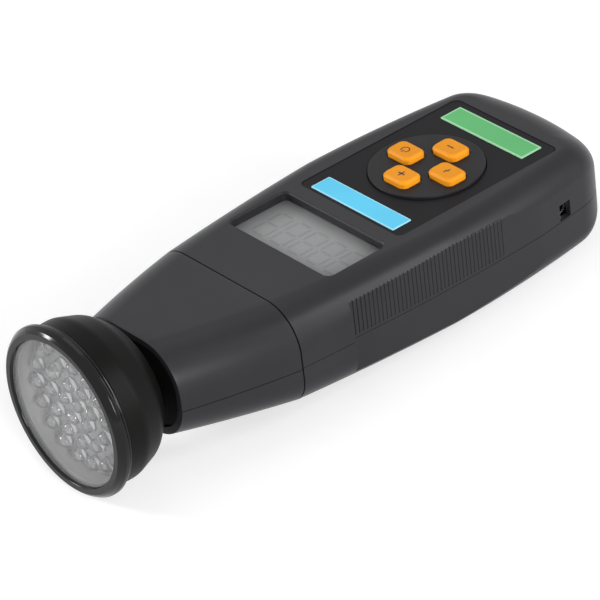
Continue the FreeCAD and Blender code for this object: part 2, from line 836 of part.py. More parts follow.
def make_battery_door():
    """The door: a flat plate with two hooks at the front and a latch tongue at the rear."""
    gap, ledge = val("play"), val("door_ledge")
    half = bay_half + ledge - gap
    top = case_floor + val("door_thickness") - gap
    parts = [block(door_x, bay_high + ledge - gap, -half, half, case_floor, top)]
    tab_low = bay_floor + gap
    tab_high = tab_low + val("door_tab_thickness") - 0.2
    riser = bay_low + gap
    for y in tab_places():
        y_low, y_high = y - val("door_tab_width") / 2, y + val("door_tab_width") / 2
        parts.append(block(riser, riser + val("door_tab_thickness"), y_low, y_high, top - 0.1, tab_high))
        parts.append(block(riser - val("door_tab_reach"), riser + 0.5, y_low, y_high, tab_low, tab_high))
    latch = bay_high - val("latch_gap") - val("latch_thickness")
    latch_half = val("latch_width") / 2
    parts.append(block(latch, latch + val("latch_thickness"), -latch_half, latch_half,
                       top - 0.1, case_floor + val("latch_height")))
    piece("battery_door", fused(parts))


def led_places():
    """One LED in the middle and three circles of 6, 12 and 18 round it."""
    places = [(0.0, 0.0)]
    for circle in (1, 2, 3):
        count = 6 * circle
        for index in range(count):
            angle = 2 * math.pi * index / count
            places.append((circle * val("led_pitch") * math.cos(angle), circle * val("led_pitch") * math.sin(angle)))
    return places


def make_lamp_leds():
    """All the LEDs, each a short body with a dome towards the lens."""
    top = front + val("led_top")
    radius = val("led_radius")
    sides = int(val("led_sides"))
    steps = ((top + val("led_height"), 1.0), (top + radius, 1.0), (top + 0.4 * radius, 0.85), (top, 0.4))
    leds = []
    for y, z in led_places():
        leds.append(skinned([round_ring(x, radius * share, sides, y, axis_height + z) for x, share in steps]))
    piece("lamp_leds", Part.makeCompound(leds))


def make_led_plate():
    """The grey plate that the LEDs stand out of."""
    low = front + val("led_plate_start")
    depth = Vec(val("led_plate_thickness"), 0, 0)
    disc = polygon(round_ring(low, lens_seat - val("snug"), int(val("ring_sides")), 0, axis_height))
    holes = [polygon(round_ring(low, val("led_radius") + val("play"), int(val("led_sides")), y, axis_height + z))
             for y, z in led_places()]
    piece("led_plate", disc.cut(Part.makeCompound(holes)).extrude(depth))


def make_lamp_lead():
    """Two insulated wires from the LED board through the neck up to the main board."""
    bend = val("lead_bend")
    begin = front + val("led_top") + val("led_height") + val("board_thickness")
    end = at("lead_end_start")
    leads = []
    for side in (1, -1):
        rings = []
        for x, z, turn in ((begin, axis_height, 0), (end - bend, axis_height, 22.5),
                           (end, axis_height + bend, 67.5), (end, board_bottom, 90)):
            lean = Vec(-math.sin(math.radians(turn)), 0, math.cos(math.radians(turn)))
            points = round_ring(0, val("lead_radius"), int(val("lead_sides")))
            rings.append([Vec(x, side * val("lead_offset") + p.y, z) + lean * p.z for p in points])
        leads.append(skinned(rings))
    piece("lamp_lead", Part.makeCompound(leads))


def make_key_switches():
    """Four switch housings on the board, each with a well that its key's stem enters."""
    half = val("switch_side") / 2
    top = board_top + val("switch_height")
    housings = []
    for x, y in key_places():
        housing = block(x - half, x + half, y - half, y + half, board_top, top)
        reach = val("key_stem") / 2 + val("play")
        well = block(x - reach, x + reach, y - reach, y + reach, top - val("switch_well"), top + 1)
        housings.append(housing.cut(well))
    piece("key_switches", Part.makeCompound(housings))


def key_places():
    """Centres of the keys nearest the lamp, nearest the tail, and on both sides."""
    x, long_way, cross = at("keypad_start"), val("key_spacing_long"), val("key_spacing_cross")
    return [(x - long_way, 0), (x + long_way, 0), (x, cross), (x, -cross)]


def make_board_parts():
    """Chips under the board and the large capacitor that feeds the flashes."""
    low = board_bottom - val("chip_height")
    half = val("chip_length") / 2
    driver = val("driver_chip_length") / 2
    x = at("display_start") + val("display_length") / 2
    chips = [block(x - half, x + half, 6, 6 + 2 * half, low, board_bottom),
             block(x - driver, x + driver, -6 - 2 * driver, -6, low, board_bottom),
             block(at("keypad_start") - half, at("keypad_start") + half, -half, half, low, board_bottom)]
    piece("board_chips", Part.makeCompound(chips))
    radius = val("capacitor_radius")
    x = at("display_start")
    end = Vec(0, val("capacitor_length"), 0)
    turns = [2 * math.pi * k / val("cell_sides") for k in range(int(val("cell_sides")))]
    rim = [Vec(x + radius * math.cos(turn), -end.y / 2, board_bottom - radius + radius * math.sin(turn))
           for turn in turns]
    can = polygon(rim).extrude(end)
    piece("pulse_capacitor", can)


def make_side_socket():
    """The jack under the board, with a plain bore that opens in the side hole."""
    x, y, z = socket_middle()
    mouth = y + val("socket_set_back")
    half = val("socket_body_width") / 2
    low = z - val("socket_hole_height") / 2 + 0.2
    body = block(x - half, x + half, mouth, mouth + val("socket_body_length"), low, board_bottom)
    bore = Part.makeCylinder(val("socket_bore_radius"), val("socket_bore_length"), Vec(x, mouth, z), Vec(0, 1, 0))
    piece("side_socket", body.cut(bore))


def make_screws():
    """Three groups of pan-head screws, all driven from below."""
    radius, head, height = [val(a) for a in ("screw_radius", "screw_head_radius", "screw_head_height")]
    shank = val("board_screw_length") + val("board_thickness") - 0.5
    piece("board_screws", Part.makeCompound(
        [screw(x, y, board_bottom, shank, radius, head, height) for x, y in board_screw_places]))
    radius, head, height = [val("case_screw_" + a) for a in ("radius", "head_radius", "head_height")]
    length = val("case_screw_length")
    for label, places in (("case_screws", case_screw_places), ("nose_screws", nose_screw_places)):
        piece(label, Part.makeCompound([screw(x, y, seat, length, radius, head, height) for x, y in places]))


# Lamp head: places are measured from the front of the bezel.

lens_seat = val("lens_opening_radius") + val("lens_seat_width") + val("snug")
lens_back = val("bezel_lip") + val("lens_thickness")
groove = val("head_groove_width")
ring_start = val("bezel_length") + groove
bowl_start = ring_start + val("clamp_ring_length") + groove
plate_back = val("led_plate_start") + val("led_plate_thickness")
led_back = val("led_top") + val("led_height") + val("board_thickness")
nut_start = val("nose_start") + val("collar_set_back") + val("collar_thickness")


def make_bezel_and_ring():
    """The bezel with its rounded rim, and the clamp ring behind it."""
    rim = val("bezel_round")
    outer = val("bezel_radius")
    low = outer - val("head_groove_depth")
    turned("bezel_ring", [(val("bezel_lip"), val("lens_opening_radius")), (0, val("lens_opening_radius") + 0.9)]
           + rounded_corner((rim, outer - rim), rim, 180, 90, 3)
           + [(val("bezel_length"), outer), (val("bezel_length"), low), (ring_start, low),
              (ring_start, lens_seat), (val("bezel_lip"), lens_seat)])
    outer = val("clamp_ring_radius")
    low = outer - val("head_groove_depth")
    back = ring_start + val("clamp_ring_length")
    turned("clamp_ring", [(ring_start, lens_seat), (ring_start, outer), (back, outer), (back, low),
                          (bowl_start, low), (bowl_start, lens_seat)])


def make_bowl():
    """The cup-shaped bowl with its hollow back and the neck that enters the nose."""
    end, curve = val("bowl_end"), val("bowl_round")
    slope = (val("bowl_front_radius") - val("bowl_back_radius")) / (end - bowl_start)
    lean = math.degrees(math.atan(slope))
    centre_x = end - curve
    centre_r = val("bowl_front_radius") - slope * (centre_x - bowl_start) - curve / math.cos(math.radians(lean))
    board = val("led_board_radius") + val("snug")
    turned("head_bowl", [(bowl_start, lens_seat), (bowl_start, val("bowl_front_radius"))]
           + rounded_corner((centre_x, centre_r), curve, 90 - lean, 0, 5)
           + [(end, val("neck_radius")), (val("neck_end"), val("neck_radius")),
              (val("neck_end"), val("neck_bore_radius")), (end - val("back_wall"), val("neck_bore_radius")),
              (end - val("back_wall"), centre_r), (led_back, board - 2), (led_back, board),
              (plate_back, board), (plate_back, lens_seat)])


def make_head_inside():
    """Front lens, the ring behind it, the LED board, and the nut that holds the neck."""
    glass = lens_seat - val("snug")
    shaft = 0
    turned("front_lens", [(val("bezel_lip"), shaft), (lens_back, shaft), (lens_back, glass), (val("bezel_lip"), glass)])
    inner = glass - val("reflector_wall")
    plate_front = val("led_plate_start")
    turned("reflector_ring", [(lens_back, inner), (plate_front, inner), (plate_front, glass), (lens_back, glass)])
    board = val("led_board_radius")
    board_front = led_back - val("board_thickness")
    turned("led_board", [(board_front, 0), (led_back, 0), (led_back, board), (board_front, board)])
    end = nut_start + val("nut_thickness")
    nut = polygon(round_ring(nut_start, val("nut_radius"), 6)).extrude(Vec(end - nut_start, 0, 0))
    made = piece("head_nut", nut.cut(lying(val("neck_radius") + val("fit_gap"), nut_start - 1, end + 1, 0, 0)))
    made.setExpression("Placement.Base.x", formula(FRONT))
    made.setExpression("Placement.Base.z", formula("bezel_radius"))


def make_display():
    """Window pane, display glass and the holder frame that stands on the board."""
    x_low = FRONT + " + display_start"
    x_high = FRONT + " + display_start + display_length"
    margin = "(window_margin - play)"
    plate("display_window", "%s - %s" % (x_low, margin), "%s + %s" % (x_high, margin),
          "display_width + 2 * " + margin, DECK + " - display_recess - window_thickness",
          "window_thickness", "display_corner")
    margin = "display_glass_margin"
    z_low = "(%s - display_recess - window_thickness - display_glass_thickness)" % DECK
    plate("display_glass", "%s - %s" % (x_low, margin), "%s + %s" % (x_high, margin),
          "display_width + 2 * " + margin, z_low, "display_glass_thickness", "display_corner")
    outer = oblong("%s - %s" % (x_low, margin), "%s + %s" % (x_high, margin), "display_width + 2 * " + margin)
    inner = oblong(x_low + " + display_frame_wall", x_high + " - display_frame_wall",
                   "display_width - 2 * display_frame_wall")
    padded("display_frame", "XY_Plane", [outer, inner],
           "board_drop - display_recess - window_thickness - display_glass_thickness")
    set_place(pieces[-1], z=BOARD_TOP)


def make_overlay():
    """The dark panel in its pocket, and the two plain coloured strips on it."""
    x_low = FRONT + " + overlay_start"
    panel_z = DECK + " - overlay_pocket"
    plate("overlay_panel", x_low + " + snug", x_low + " + overlay_length - snug", "overlay_width - 2 * snug",
          panel_z, "overlay_thickness", "overlay_corner",
          [(FRONT + " + keypad_start", "0", "keypad_radius + snug")])
    for label in ("blue_label", "green_label"):
        start = "%s + %s_start" % (FRONT, label)
        plate(label, start, "%s + %s_length" % (start, label), label + "_width",
              panel_z + " + overlay_thickness", "label_thickness")


def make_keypad():
    """The round disc with its flange and four key openings."""
    body = new_body("keypad_disc")
    holes = []
    for x, y in KEY_CENTRES.values():
        half_x, half_y = "(key_length / 2 + play)", "(key_width / 2 + play)"
        holes.append([("%s - %s" % (x, half_x), "%s - %s" % (y, half_y)), ("%s + %s" % (x, half_x), "%s - %s" % (y, half_y)),
                      ("%s + %s" % (x, half_x), "%s + %s" % (y, half_y)), ("%s - %s" % (x, half_x), "%s + %s" % (y, half_y))])
    sketch = sketch_on(body, "XY_Plane", holes, [("0", "0", "keypad_radius")])
    pad = body.newObject("PartDesign::Pad", "keypad_disc_pad")
    pad.Profile = sketch
    pad.setExpression("Length", formula("keypad_rise + wall"))
    flange_sketch = sketch_on(body, "XY_Plane", holes, [("0", "0", "keypad_radius + keypad_flange")])
    flange = body.newObject("PartDesign::Pad", "keypad_disc_flange")
    flange.Profile = flange_sketch
    flange.setExpression("Length", formula("keypad_flange_thickness"))
    flange.Reversed = True
    set_place(body, x=FRONT + " + keypad_start", z=DECK + " - wall")
    doc.recompute()


def make_key(label, x, y):
    """A key: a bevelled cap, a flange that stops under the disc, and a stem into its switch."""
    body = new_body(label)
    flange_top = "(-wall - keypad_flange_thickness - play)"
    cap = [("-key_length / 2", "-key_width / 2"), ("key_length / 2", "-key_width / 2"),
           ("key_length / 2", "key_width / 2"), ("-key_length / 2", "key_width / 2")]
    sketch = sketch_on(body, "XY_Plane", [cap])
    pad = body.newObject("PartDesign::Pad", label + "_cap")
    pad.Profile = sketch
    pad.setExpression("Length", formula("keypad_rise + key_rise + wall + keypad_flange_thickness + play"))
    doc.recompute()
    rounded(body, "key_corner", is_upright)
    top = body.Tip.Shape.BoundBox.ZMax
    rounded(body, "key_bevel", lambda e: abs(e.BoundBox.ZMin - top) < 0.01 and e.BoundBox.ZLength < 0.01, "Chamfer")
    grow = "key_flange"
    plate_corners = [("-key_length / 2 - " + grow, "-key_width / 2 - " + grow), ("key_length / 2 + " + grow, "-key_width / 2 - " + grow),
                     ("key_length / 2 + " + grow, "key_width / 2 + " + grow), ("-key_length / 2 - " + grow, "key_width / 2 + " + grow)]
    flange = body.newObject("PartDesign::Pad", label + "_flange")
    flange.Profile = sketch_on(body, "XY_Plane", [plate_corners])
    flange.setExpression("Length", formula("key_flange_thickness"))
    flange.Reversed = True
    doc.recompute()
    stem = body.newObject("PartDesign::Pad", label + "_stem")
    stem.Profile = sketch_on(body, "XY_Plane", [oblong("-key_stem / 2", "key_stem / 2", "key_stem")])
    stem.setExpression("Length", formula(
        "board_drop - switch_height - wall - keypad_flange_thickness - play + switch_gap"))
    stem.Reversed = True
    set_place(body, x="%s + keypad_start + %s" % (FRONT, x), y=y, z="%s + %s" % (DECK, flange_top))
    doc.recompute()


KEY_CENTRES = {"up_key": ("-key_spacing_long", "0"), "down_key": ("key_spacing_long", "0"),
               "right_key": ("0", "key_spacing_cross"), "left_key": ("0", "-key_spacing_cross")}


def make_main_board():
    """The main board, with holes for the screws that hold it to the upper shell's posts."""
    x_low = FRONT + " + board_start"
    circles = []
    for start, offset in (("post_front_start", "post_front_offset"), ("post_rear_start", "post_rear_offset")):
        for side in ("", "-"):
            circles.append(("%s + %s" % (FRONT, start), side + offset, "screw_radius + fit_gap"))
    plate("main_board", x_low, x_low + " + board_length", "board_width",
          BOARD_TOP + " - board_thickness", "board_thickness", None, circles)


make_nose()
make_nose_collar()
make_upper_shell()
make_lower_shell()
make_bezel_and_ring()
make_bowl()
make_head_inside()
make_led_plate()
make_lamp_leds()
make_lamp_lead()
make_display()
make_overlay()
make_keypad()
for key_label, (key_x, key_y) in KEY_CENTRES.items():
    make_key(key_label, key_x, key_y)
make_main_board()
make_key_switches()
make_board_parts()
make_side_socket()
make_battery_cells()
make_contacts()
make_battery_door()
make_screws()

doc.recompute()
problems = [o.Name for o in doc.Objects if "Invalid" in o.State or "Error" in o.State]
problems += [o.Name for o in pieces if o.Shape.isNull() or not o.Shape.isValid()]
if problems:
    raise RuntimeError("not sound: " + ", ".join(problems))
for feature in pieces:
    feature.Shape.exportStep("parts/%s.step" % feature.Label)
print("%d pieces written" % len(pieces))
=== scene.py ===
import json
import math
import bmesh
import bpy
from mathutils import Matrix, Vector


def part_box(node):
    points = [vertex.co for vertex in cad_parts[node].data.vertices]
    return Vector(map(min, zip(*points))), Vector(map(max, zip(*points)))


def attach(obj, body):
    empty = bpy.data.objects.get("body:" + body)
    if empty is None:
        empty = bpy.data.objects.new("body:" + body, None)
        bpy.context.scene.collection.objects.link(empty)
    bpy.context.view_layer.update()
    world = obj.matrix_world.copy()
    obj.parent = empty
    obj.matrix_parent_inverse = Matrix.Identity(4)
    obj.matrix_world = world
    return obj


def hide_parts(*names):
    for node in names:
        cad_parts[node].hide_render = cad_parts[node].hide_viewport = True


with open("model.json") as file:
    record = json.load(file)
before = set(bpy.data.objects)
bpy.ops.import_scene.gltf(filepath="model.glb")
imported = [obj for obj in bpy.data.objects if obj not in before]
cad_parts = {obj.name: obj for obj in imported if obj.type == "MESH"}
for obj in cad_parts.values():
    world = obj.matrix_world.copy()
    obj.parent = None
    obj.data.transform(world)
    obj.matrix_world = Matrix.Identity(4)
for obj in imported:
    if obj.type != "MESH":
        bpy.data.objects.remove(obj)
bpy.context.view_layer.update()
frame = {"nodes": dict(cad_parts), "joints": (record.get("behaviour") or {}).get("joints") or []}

MM = 0.001

# Camera, measured from the photograph: angles in degrees, places in metres.
CAMERA_AZIMUTH = -36.82
CAMERA_ELEVATION = 32.88
CAMERA_ROLL = -6.86
CAMERA_AIM = Vector((-0.00697, 0.00017, 0.02375))
CAMERA_DISTANCE = 1.5259
CAMERA_LENS = 282.86

# How much light the white surround gives, and how much of the floor's white is its own.
WORLD_LIGHT = 0.30
FLOOR_GLOW = 0.52


# The frame's own places, all in metres.

def low(node):
    """Lowest corner of a CAD node."""
    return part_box(node)[0]


def high(node):
    """Highest corner of a CAD node."""
    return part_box(node)[1]


FRONT = low("bezel_ring").x
AXIS_Z = (low("bezel_ring").z + high("bezel_ring").z) / 2
BEZEL_R = (high("bezel_ring").z - low("bezel_ring").z) / 2
NOSE_X = low("nose_upper").x
SEAM_X = low("upper_shell").x
TAIL_X = high("upper_shell").x
DECK = high("upper_shell").z
CASE_FLOOR = low("lower_shell").z
PARTING = low("upper_shell").z
NOSE_PARTING = low("nose_upper").z
SEAM_HALF = high("nose_upper").y
WALL = 2.2 * MM
FLOOR_WALL = 2.6 * MM
NOSE_HALF = 24.3 * MM
NOSE_DEPTH = 34 * MM
BODY_HALF = 37.8 * MM
WIDEST_X = FRONT + 133 * MM
GRIP_X = FRONT + 90.6 * MM
GRIP_LENGTH = 82 * MM
REAR_RADIUS = 420 * MM
TAIL_RADIUS = 120 * MM
CORNER_RADIUS = 18 * MM
TOP_ROUNDS = [14.5 * MM, 8.5 * MM, 13.5 * MM]
BOTTOM_ROUNDS = [12 * MM, 7 * MM, 11.5 * MM]
NOSE_ROUND = 15.5 * MM
RIM_WIDTH = 4.6 * MM
GROOVE_DEPTH = 1.1 * MM
HAIRLINE = 0.09 * MM
SEAM_GAP = 0.45 * MM
EDGE = 0.25 * MM
CREST = 0.5 * MM
SCREW_SEAT = CASE_FLOOR + 6 * MM
POST_RADIUS = 4.4 * MM
RECESS_RADIUS = 3 * MM
WINDOW_CORNER = 2.2 * MM
DISC_HOLE = 19.8 * MM
DISC_RADIUS = 19.5 * MM
KEYS = ("up_key", "down_key", "left_key", "right_key")
KEY_FLANGE = 0.7 * MM
AXIS_HOLE = 0.01 * MM
LED_PITCH_MM = 7
LED_RADIUS = 2.5 * MM
LED_TOP = 4.6 * MM
PLATE_FRONT = 8.4 * MM
PLATE_BACK = 9.8 * MM


# Mesh helpers.

def new_piece(name, mesh):
    """Put a mesh in the scene as an object."""
    obj = bpy.data.objects.new(name, mesh)
    bpy.context.scene.collection.objects.link(obj)
    return obj


def from_bmesh(name, bm):
    """Turn a bmesh into an object with outward normals."""
    bmesh.ops.recalc_face_normals(bm, faces=bm.faces)
    mesh = bpy.data.meshes.new(name)
    bm.to_mesh(mesh)
    bm.free()
    return new_piece(name, mesh)


def skin(name, rings, looped=False):
    """A closed solid whose skin runs between rings of points."""
    bm = bmesh.new()
    rows = [[bm.verts.new(p) for p in ring] for ring in rings]
    following = rows[1:] + rows[:1] if looped else rows[1:]
    for a, b in zip(rows, following):
        count = len(a)
        for i in range(count):
            j = (i + 1) % count
            bm.faces.new((a[i], a[j], b[j], b[i]))
    if not looped:
        bm.faces.new(rows[0])
        bm.faces.new(rows[-1])
    bmesh.ops.remove_doubles(bm, verts=bm.verts, dist=1e-7)
    return from_bmesh(name, bm)


def box_mesh(name, lowest, highest):
    """A cutter box between two corners."""
    bm = bmesh.new()
    bmesh.ops.create_cube(bm, size=1.0)
    size = Vector(highest) - Vector(lowest)
    middle = (Vector(highest) + Vector(lowest)) / 2
    for v in bm.verts:
        v.co = Vector(v.co[i] * size[i] for i in range(3)) + middle
    return from_bmesh(name, bm)


def rounded_outline(x0, x1, y0, y1, corner, steps=8):
    """Points of a rectangle with round corners, in X and Y."""
    points = []
    for cx, cy, first in ((x1 - corner, y1 - corner, 0), (x0 + corner, y1 - corner, 90),
                          (x0 + corner, y0 + corner, 180), (x1 - corner, y0 + corner, 270)):
        for k in range(steps + 1):
            turn = math.radians(first + 90 * k / steps)
            points.append((cx + corner * math.cos(turn), cy + corner * math.sin(turn)))
    return points


def circle(x, y, radius, sides):
    """Points of a circle."""
    return [(x + radius * math.cos(2 * math.pi * k / sides), y + radius * math.sin(2 * math.pi * k / sides))
            for k in range(sides)]


def drawn_in(outline, centre, half, inset, z):
    """An outline drawn in evenly on both axes, at a height."""
    (cx, cy), (sx, sy) = centre, [1 - inset / h for h in half]
    return [Vector((cx + (x - cx) * sx, cy + (y - cy) * sy, z)) for x, y in outline]


def slab(name, outline, z0, z1, bevel=0.0, steps=3):
    """An outline pushed up from z0 to z1, with its upper rim rounded by drawing it in."""
    centre = [sum(p[i] for p in outline) / len(outline) for i in (0, 1)]
    half = [max(p[i] for p in outline) - centre[i] for i in (0, 1)]

    def ring(inset, z):
        """The outline, drawn in."""
        return drawn_in(outline, centre, half, inset, z)

    rings = [ring(0, z0)]
    if bevel:
        for k in range(steps + 1):
            turn = math.pi / 2 * k / steps
            rings.append(ring(bevel * (1 - math.cos(turn)), z1 - bevel * (1 - math.sin(turn))))
    else:
        rings.append(ring(0, z1))
    return skin(name, rings)


def lathe(name, profile, segments=160, looped=True, centre=None):
    """Turn a profile of (distance behind the front, radius) in metres about the lamp axis."""
    y0, z0 = centre or (0.0, AXIS_Z)
    rings = []
    for x, r in profile:
        rings.append([Vector((FRONT + x, y0 + r * math.cos(2 * math.pi * k / segments),
                              z0 + r * math.sin(2 * math.pi * k / segments))) for k in range(segments)])
    return skin(name, rings, looped)


def round_profile(corners, radius, steps=5):
    """A closed profile whose corners are rounded where a radius is given with them."""
    out = []
    count = len(corners)
    for i, (x, r, fillet) in enumerate(corners):
        here = Vector((x, r))
        before = Vector(corners[i - 1][:2]) - here
        after = Vector(corners[(i + 1) % count][:2]) - here
        if not fillet:
            out.append((x, r))
            continue
        fillet *= radius
        angle = before.angle(after)
        reach = min(fillet / math.tan(angle / 2), before.length * 0.48, after.length * 0.48)
        a, b = here + before.normalized() * reach, here + after.normalized() * reach
        for k in range(steps + 1):
            t = k / steps
            p = a * (1 - t) ** 2 + here * 2 * t * (1 - t) + b * t ** 2
            out.append((p.x, p.y))
    return out


def boolean(obj, cutter, operation="DIFFERENCE"):
    """Apply one boolean, and drop the cutter."""
    mod = obj.modifiers.new("cut", "BOOLEAN")
    mod.object = cutter
    mod.operation = operation
    mod.solver = "EXACT"
    apply_modifiers(obj)
    bpy.data.objects.remove(cutter, do_unlink=True)
    return obj


def apply_modifiers(obj):
    """Replace the mesh by what the modifiers make of it."""
    graph = bpy.context.evaluated_depsgraph_get()
    mesh = bpy.data.meshes.new_from_object(obj.evaluated_get(graph))
    obj.modifiers.clear()
    old = obj.data
    obj.data = mesh
    bpy.data.meshes.remove(old)


def joined(name, objects):
    """One object from several, kept as separate closed shells."""
    bm = bmesh.new()
    for obj in objects:
        bm.from_mesh(obj.data)
        bpy.data.objects.remove(obj, do_unlink=True)
    return from_bmesh(name, bm)


def soften(obj, width=EDGE, angle=40, segments=2):
    """Round the sharp edges a little, so that they catch light as moulded ones do."""
    mod = obj.modifiers.new("edge", "BEVEL")
    mod.width = width
    mod.segments = segments
    mod.limit_method = "ANGLE"
    mod.angle_limit = math.radians(angle)
    mod.use_clamp_overlap = True
    mod.miter_outer = "MITER_ARC"
    apply_modifiers(obj)


def smooth(obj, angle=35):
    """Shade smooth, with edges sharper than an angle kept crisp, and flat faces kept flat."""
    bm = bmesh.new()
    bm.from_mesh(obj.data)
    limit = math.radians(angle)
    for face in bm.faces:
        face.smooth = True
    for edge in bm.edges:
        if len(edge.link_faces) == 2:
            edge.smooth = edge.calc_face_angle(0) < limit
    bm.to_mesh(obj.data)
    bm.free()
    mod = obj.modifiers.new("normals", "WEIGHTED_NORMAL")
    mod.keep_sharp = True
    mod.weight = 80
    return obj


def finish_piece(obj, material, nodes=(), body="instrument", angle=35):
    """Shade, paint and place a piece, and let it stand for its CAD nodes."""
    smooth(obj, angle)
    obj.data.materials.clear()
    obj.data.materials.append(material)
    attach(obj, body)
    if nodes:
        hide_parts(*nodes)
    return obj


# Materials: every one is made of nodes, in the object's own coordinates.

def principled(name):
    """A new material, with its node tree, its shader and its coordinates."""
    mat = bpy.data.materials.new(name)
    mat.use_nodes = True
    tree = mat.node_tree
    shader = tree.nodes["Principled BSDF"]
    where = tree.nodes.new("ShaderNodeTexCoord")
    return mat, tree, shader, where


def noise(tree, where, scale, detail=4.0, rough=0.6):
    """A noise texture in object space, scale per metre."""
    node = tree.nodes.new("ShaderNodeTexNoise")
    node.inputs["Scale"].default_value = scale
    node.inputs["Detail"].default_value = detail
    node.inputs["Roughness"].default_value = rough
    tree.links.new(where.outputs["Object"], node.inputs["Vector"])
    return node


def ramp(tree, source, stops):
    """A colour ramp on a value."""
    node = tree.nodes.new("ShaderNodeValToRGB")
    elements = node.color_ramp.elements
    while len(elements) < len(stops):
        elements.new(0.5)
    for element, (place, colour) in zip(elements, stops):
        element.position = place
        element.color = (*colour, 1.0)
    tree.links.new(source, node.inputs["Fac"])
    return node


def spread(tree, source, lowest, highest):
    """Map a value from 0..1 to a range."""
    node = tree.nodes.new("ShaderNodeMapRange")
    node.inputs["To Min"].default_value = lowest
    node.inputs["To Max"].default_value = highest
    tree.links.new(source, node.inputs["Value"])
    return node


def bump(tree, shader, sources):
    """Chain bumps, each as (height socket, distance in metres)."""
    last = None
    for height, distance in sources:
        node = tree.nodes.new("ShaderNodeBump")
        node.inputs["Strength"].default_value = 1.0
        node.inputs["Distance"].default_value = distance
        tree.links.new(height, node.inputs["Height"])
        if last:
            tree.links.new(last.outputs["Normal"], node.inputs["Normal"])
        last = node
    tree.links.new(last.outputs["Normal"], shader.inputs["Normal"])


def moulded(name, colour, roughness, grain=1400.0, depth=0.012, specular=0.5, tint=0.10, rough_spread=0.06):
    """Moulded plastic: a fine eroded grain, slow changes of tone and a few rubbed patches."""
    mat, tree, shader, where = principled(name)
    slow = noise(tree, where, 28.0, 3.0)
    fine = noise(tree, where, grain, 3.0, 0.7)
    dark = tuple(c * (1 - tint) for c in colour)
    pale = tuple(min(1.0, c * (1 + tint)) for c in colour)
    tone = ramp(tree, slow.outputs["Fac"], [(0.3, dark), (0.7, pale)])
    tree.links.new(tone.outputs["Color"], shader.inputs["Base Color"])
    mixed = tree.nodes.new("ShaderNodeMath")
    mixed.operation = "ADD"
    tree.links.new(slow.outputs["Fac"], mixed.inputs[0])
    tree.links.new(fine.outputs["Fac"], mixed.inputs[1])
    halved = tree.nodes.new("ShaderNodeMath")
    halved.operation = "MULTIPLY"
    halved.inputs[1].default_value = 0.5
    tree.links.new(mixed.outputs[0], halved.inputs[0])
    rough = spread(tree, halved.outputs[0], roughness - rough_spread, roughness + rough_spread)
    tree.links.new(rough.outputs["Result"], shader.inputs["Roughness"])
    shader.inputs["Specular IOR Level"].default_value = specular
    bump(tree, shader, [(fine.outputs["Fac"], depth * MM)])
    return mat


def thin_clear(name, colour, alpha):
    """A thin clear sheet: mostly see-through, with a sheen that faint dust dulls unevenly."""
    mat, tree, shader, where = principled(name)
    dust = noise(tree, where, 160.0, 6.0)
    rough = spread(tree, dust.outputs["Fac"], 0.02, 0.07)
    tree.links.new(rough.outputs["Result"], shader.inputs["Roughness"])
    tone = ramp(tree, dust.outputs["Fac"], [(0.3, colour), (0.8, tuple(c * 0.95 for c in colour))])
    tree.links.new(tone.outputs["Color"], shader.inputs["Base Color"])
    shader.inputs["Alpha"].default_value = alpha
    shader.inputs["Specular IOR Level"].default_value = 1.0
    return mat


def clear_resin(name, colour):
    """Clear resin of the LED bodies: light passes and bends in it, and faint flow lines cloud it."""
    mat, tree, shader, where = principled(name)
    cloud = noise(tree, where, 300.0, 4.0)
    rough = spread(tree, cloud.outputs["Fac"], 0.02, 0.08)
    tree.links.new(rough.outputs["Result"], shader.inputs["Roughness"])
    tone = ramp(tree, cloud.outputs["Fac"], [(0.3, colour), (0.8, tuple(c * 0.96 for c in colour))])
    tree.links.new(tone.outputs["Color"], shader.inputs["Base Color"])
    shader.inputs["Transmission Weight"].default_value = 0.92
    shader.inputs["Specular IOR Level"].default_value = 0.9
    shader.inputs["IOR"].default_value = 1.5
    return mat


def metal(name, colour, roughness):
    """Metal with a faint drawn grain along X."""
    mat, tree, shader, where = principled(name)
    stretch = tree.nodes.new("ShaderNodeMapping")
    stretch.inputs["Scale"].default_value = (0.15, 1.0, 1.0)
    tree.links.new(where.outputs["Object"], stretch.inputs["Vector"])
    grain = noise(tree, where, 900.0, 5.0)
    tree.links.new(stretch.outputs["Vector"], grain.inputs["Vector"])
    tone = ramp(tree, grain.outputs["Fac"], [(0.3, tuple(c * 0.82 for c in colour)), (0.7, colour)])
    tree.links.new(tone.outputs["Color"], shader.inputs["Base Color"])
    rough = spread(tree, grain.outputs["Fac"], roughness - 0.06, roughness + 0.1)
    tree.links.new(rough.outputs["Result"], shader.inputs["Roughness"])
    shader.inputs["Metallic"].default_value = 1.0
    bump(tree, shader, [(grain.outputs["Fac"], 0.01 * MM)])
    return mat


CHARCOAL = moulded("case_charcoal", (0.0195, 0.0195, 0.0225), 0.34, specular=0.18)
BLACK = moulded("bowl_black", (0.004, 0.004, 0.0038), 0.42, specular=0.08)
GLOSS_BLACK = moulded("bezel_black", (0.002, 0.002, 0.0022), 0.13, grain=700.0, depth=0.002, specular=0.26,
                      rough_spread=0.03)
DARK_FILM = moulded("overlay_film", (0.007, 0.0068, 0.0082), 0.44, grain=2400.0, depth=0.006, specular=0.09)
DISC = moulded("keypad_black", (0.012, 0.012, 0.0135), 0.40, grain=1800.0, depth=0.006, specular=0.14)
FILM = dict(grain=2400.0, depth=0.004, tint=0.05, specular=0.15)
BLUE = moulded("label_blue", (0.12, 0.59, 0.86), 0.42, **FILM)
PALE_BLUE = moulded("label_blue_edge", (0.35, 0.74, 0.90), 0.42, **FILM)
GREEN = moulded("label_green", (0.12, 0.46, 0.17), 0.42, **FILM)
PALE_GREEN = moulded("label_green_edge", (0.34, 0.66, 0.38), 0.42, **FILM)
ORANGE = moulded("key_orange", (0.80, 0.295, 0.012), 0.46, grain=1800.0, depth=0.008, tint=0.06,
                 specular=0.14)
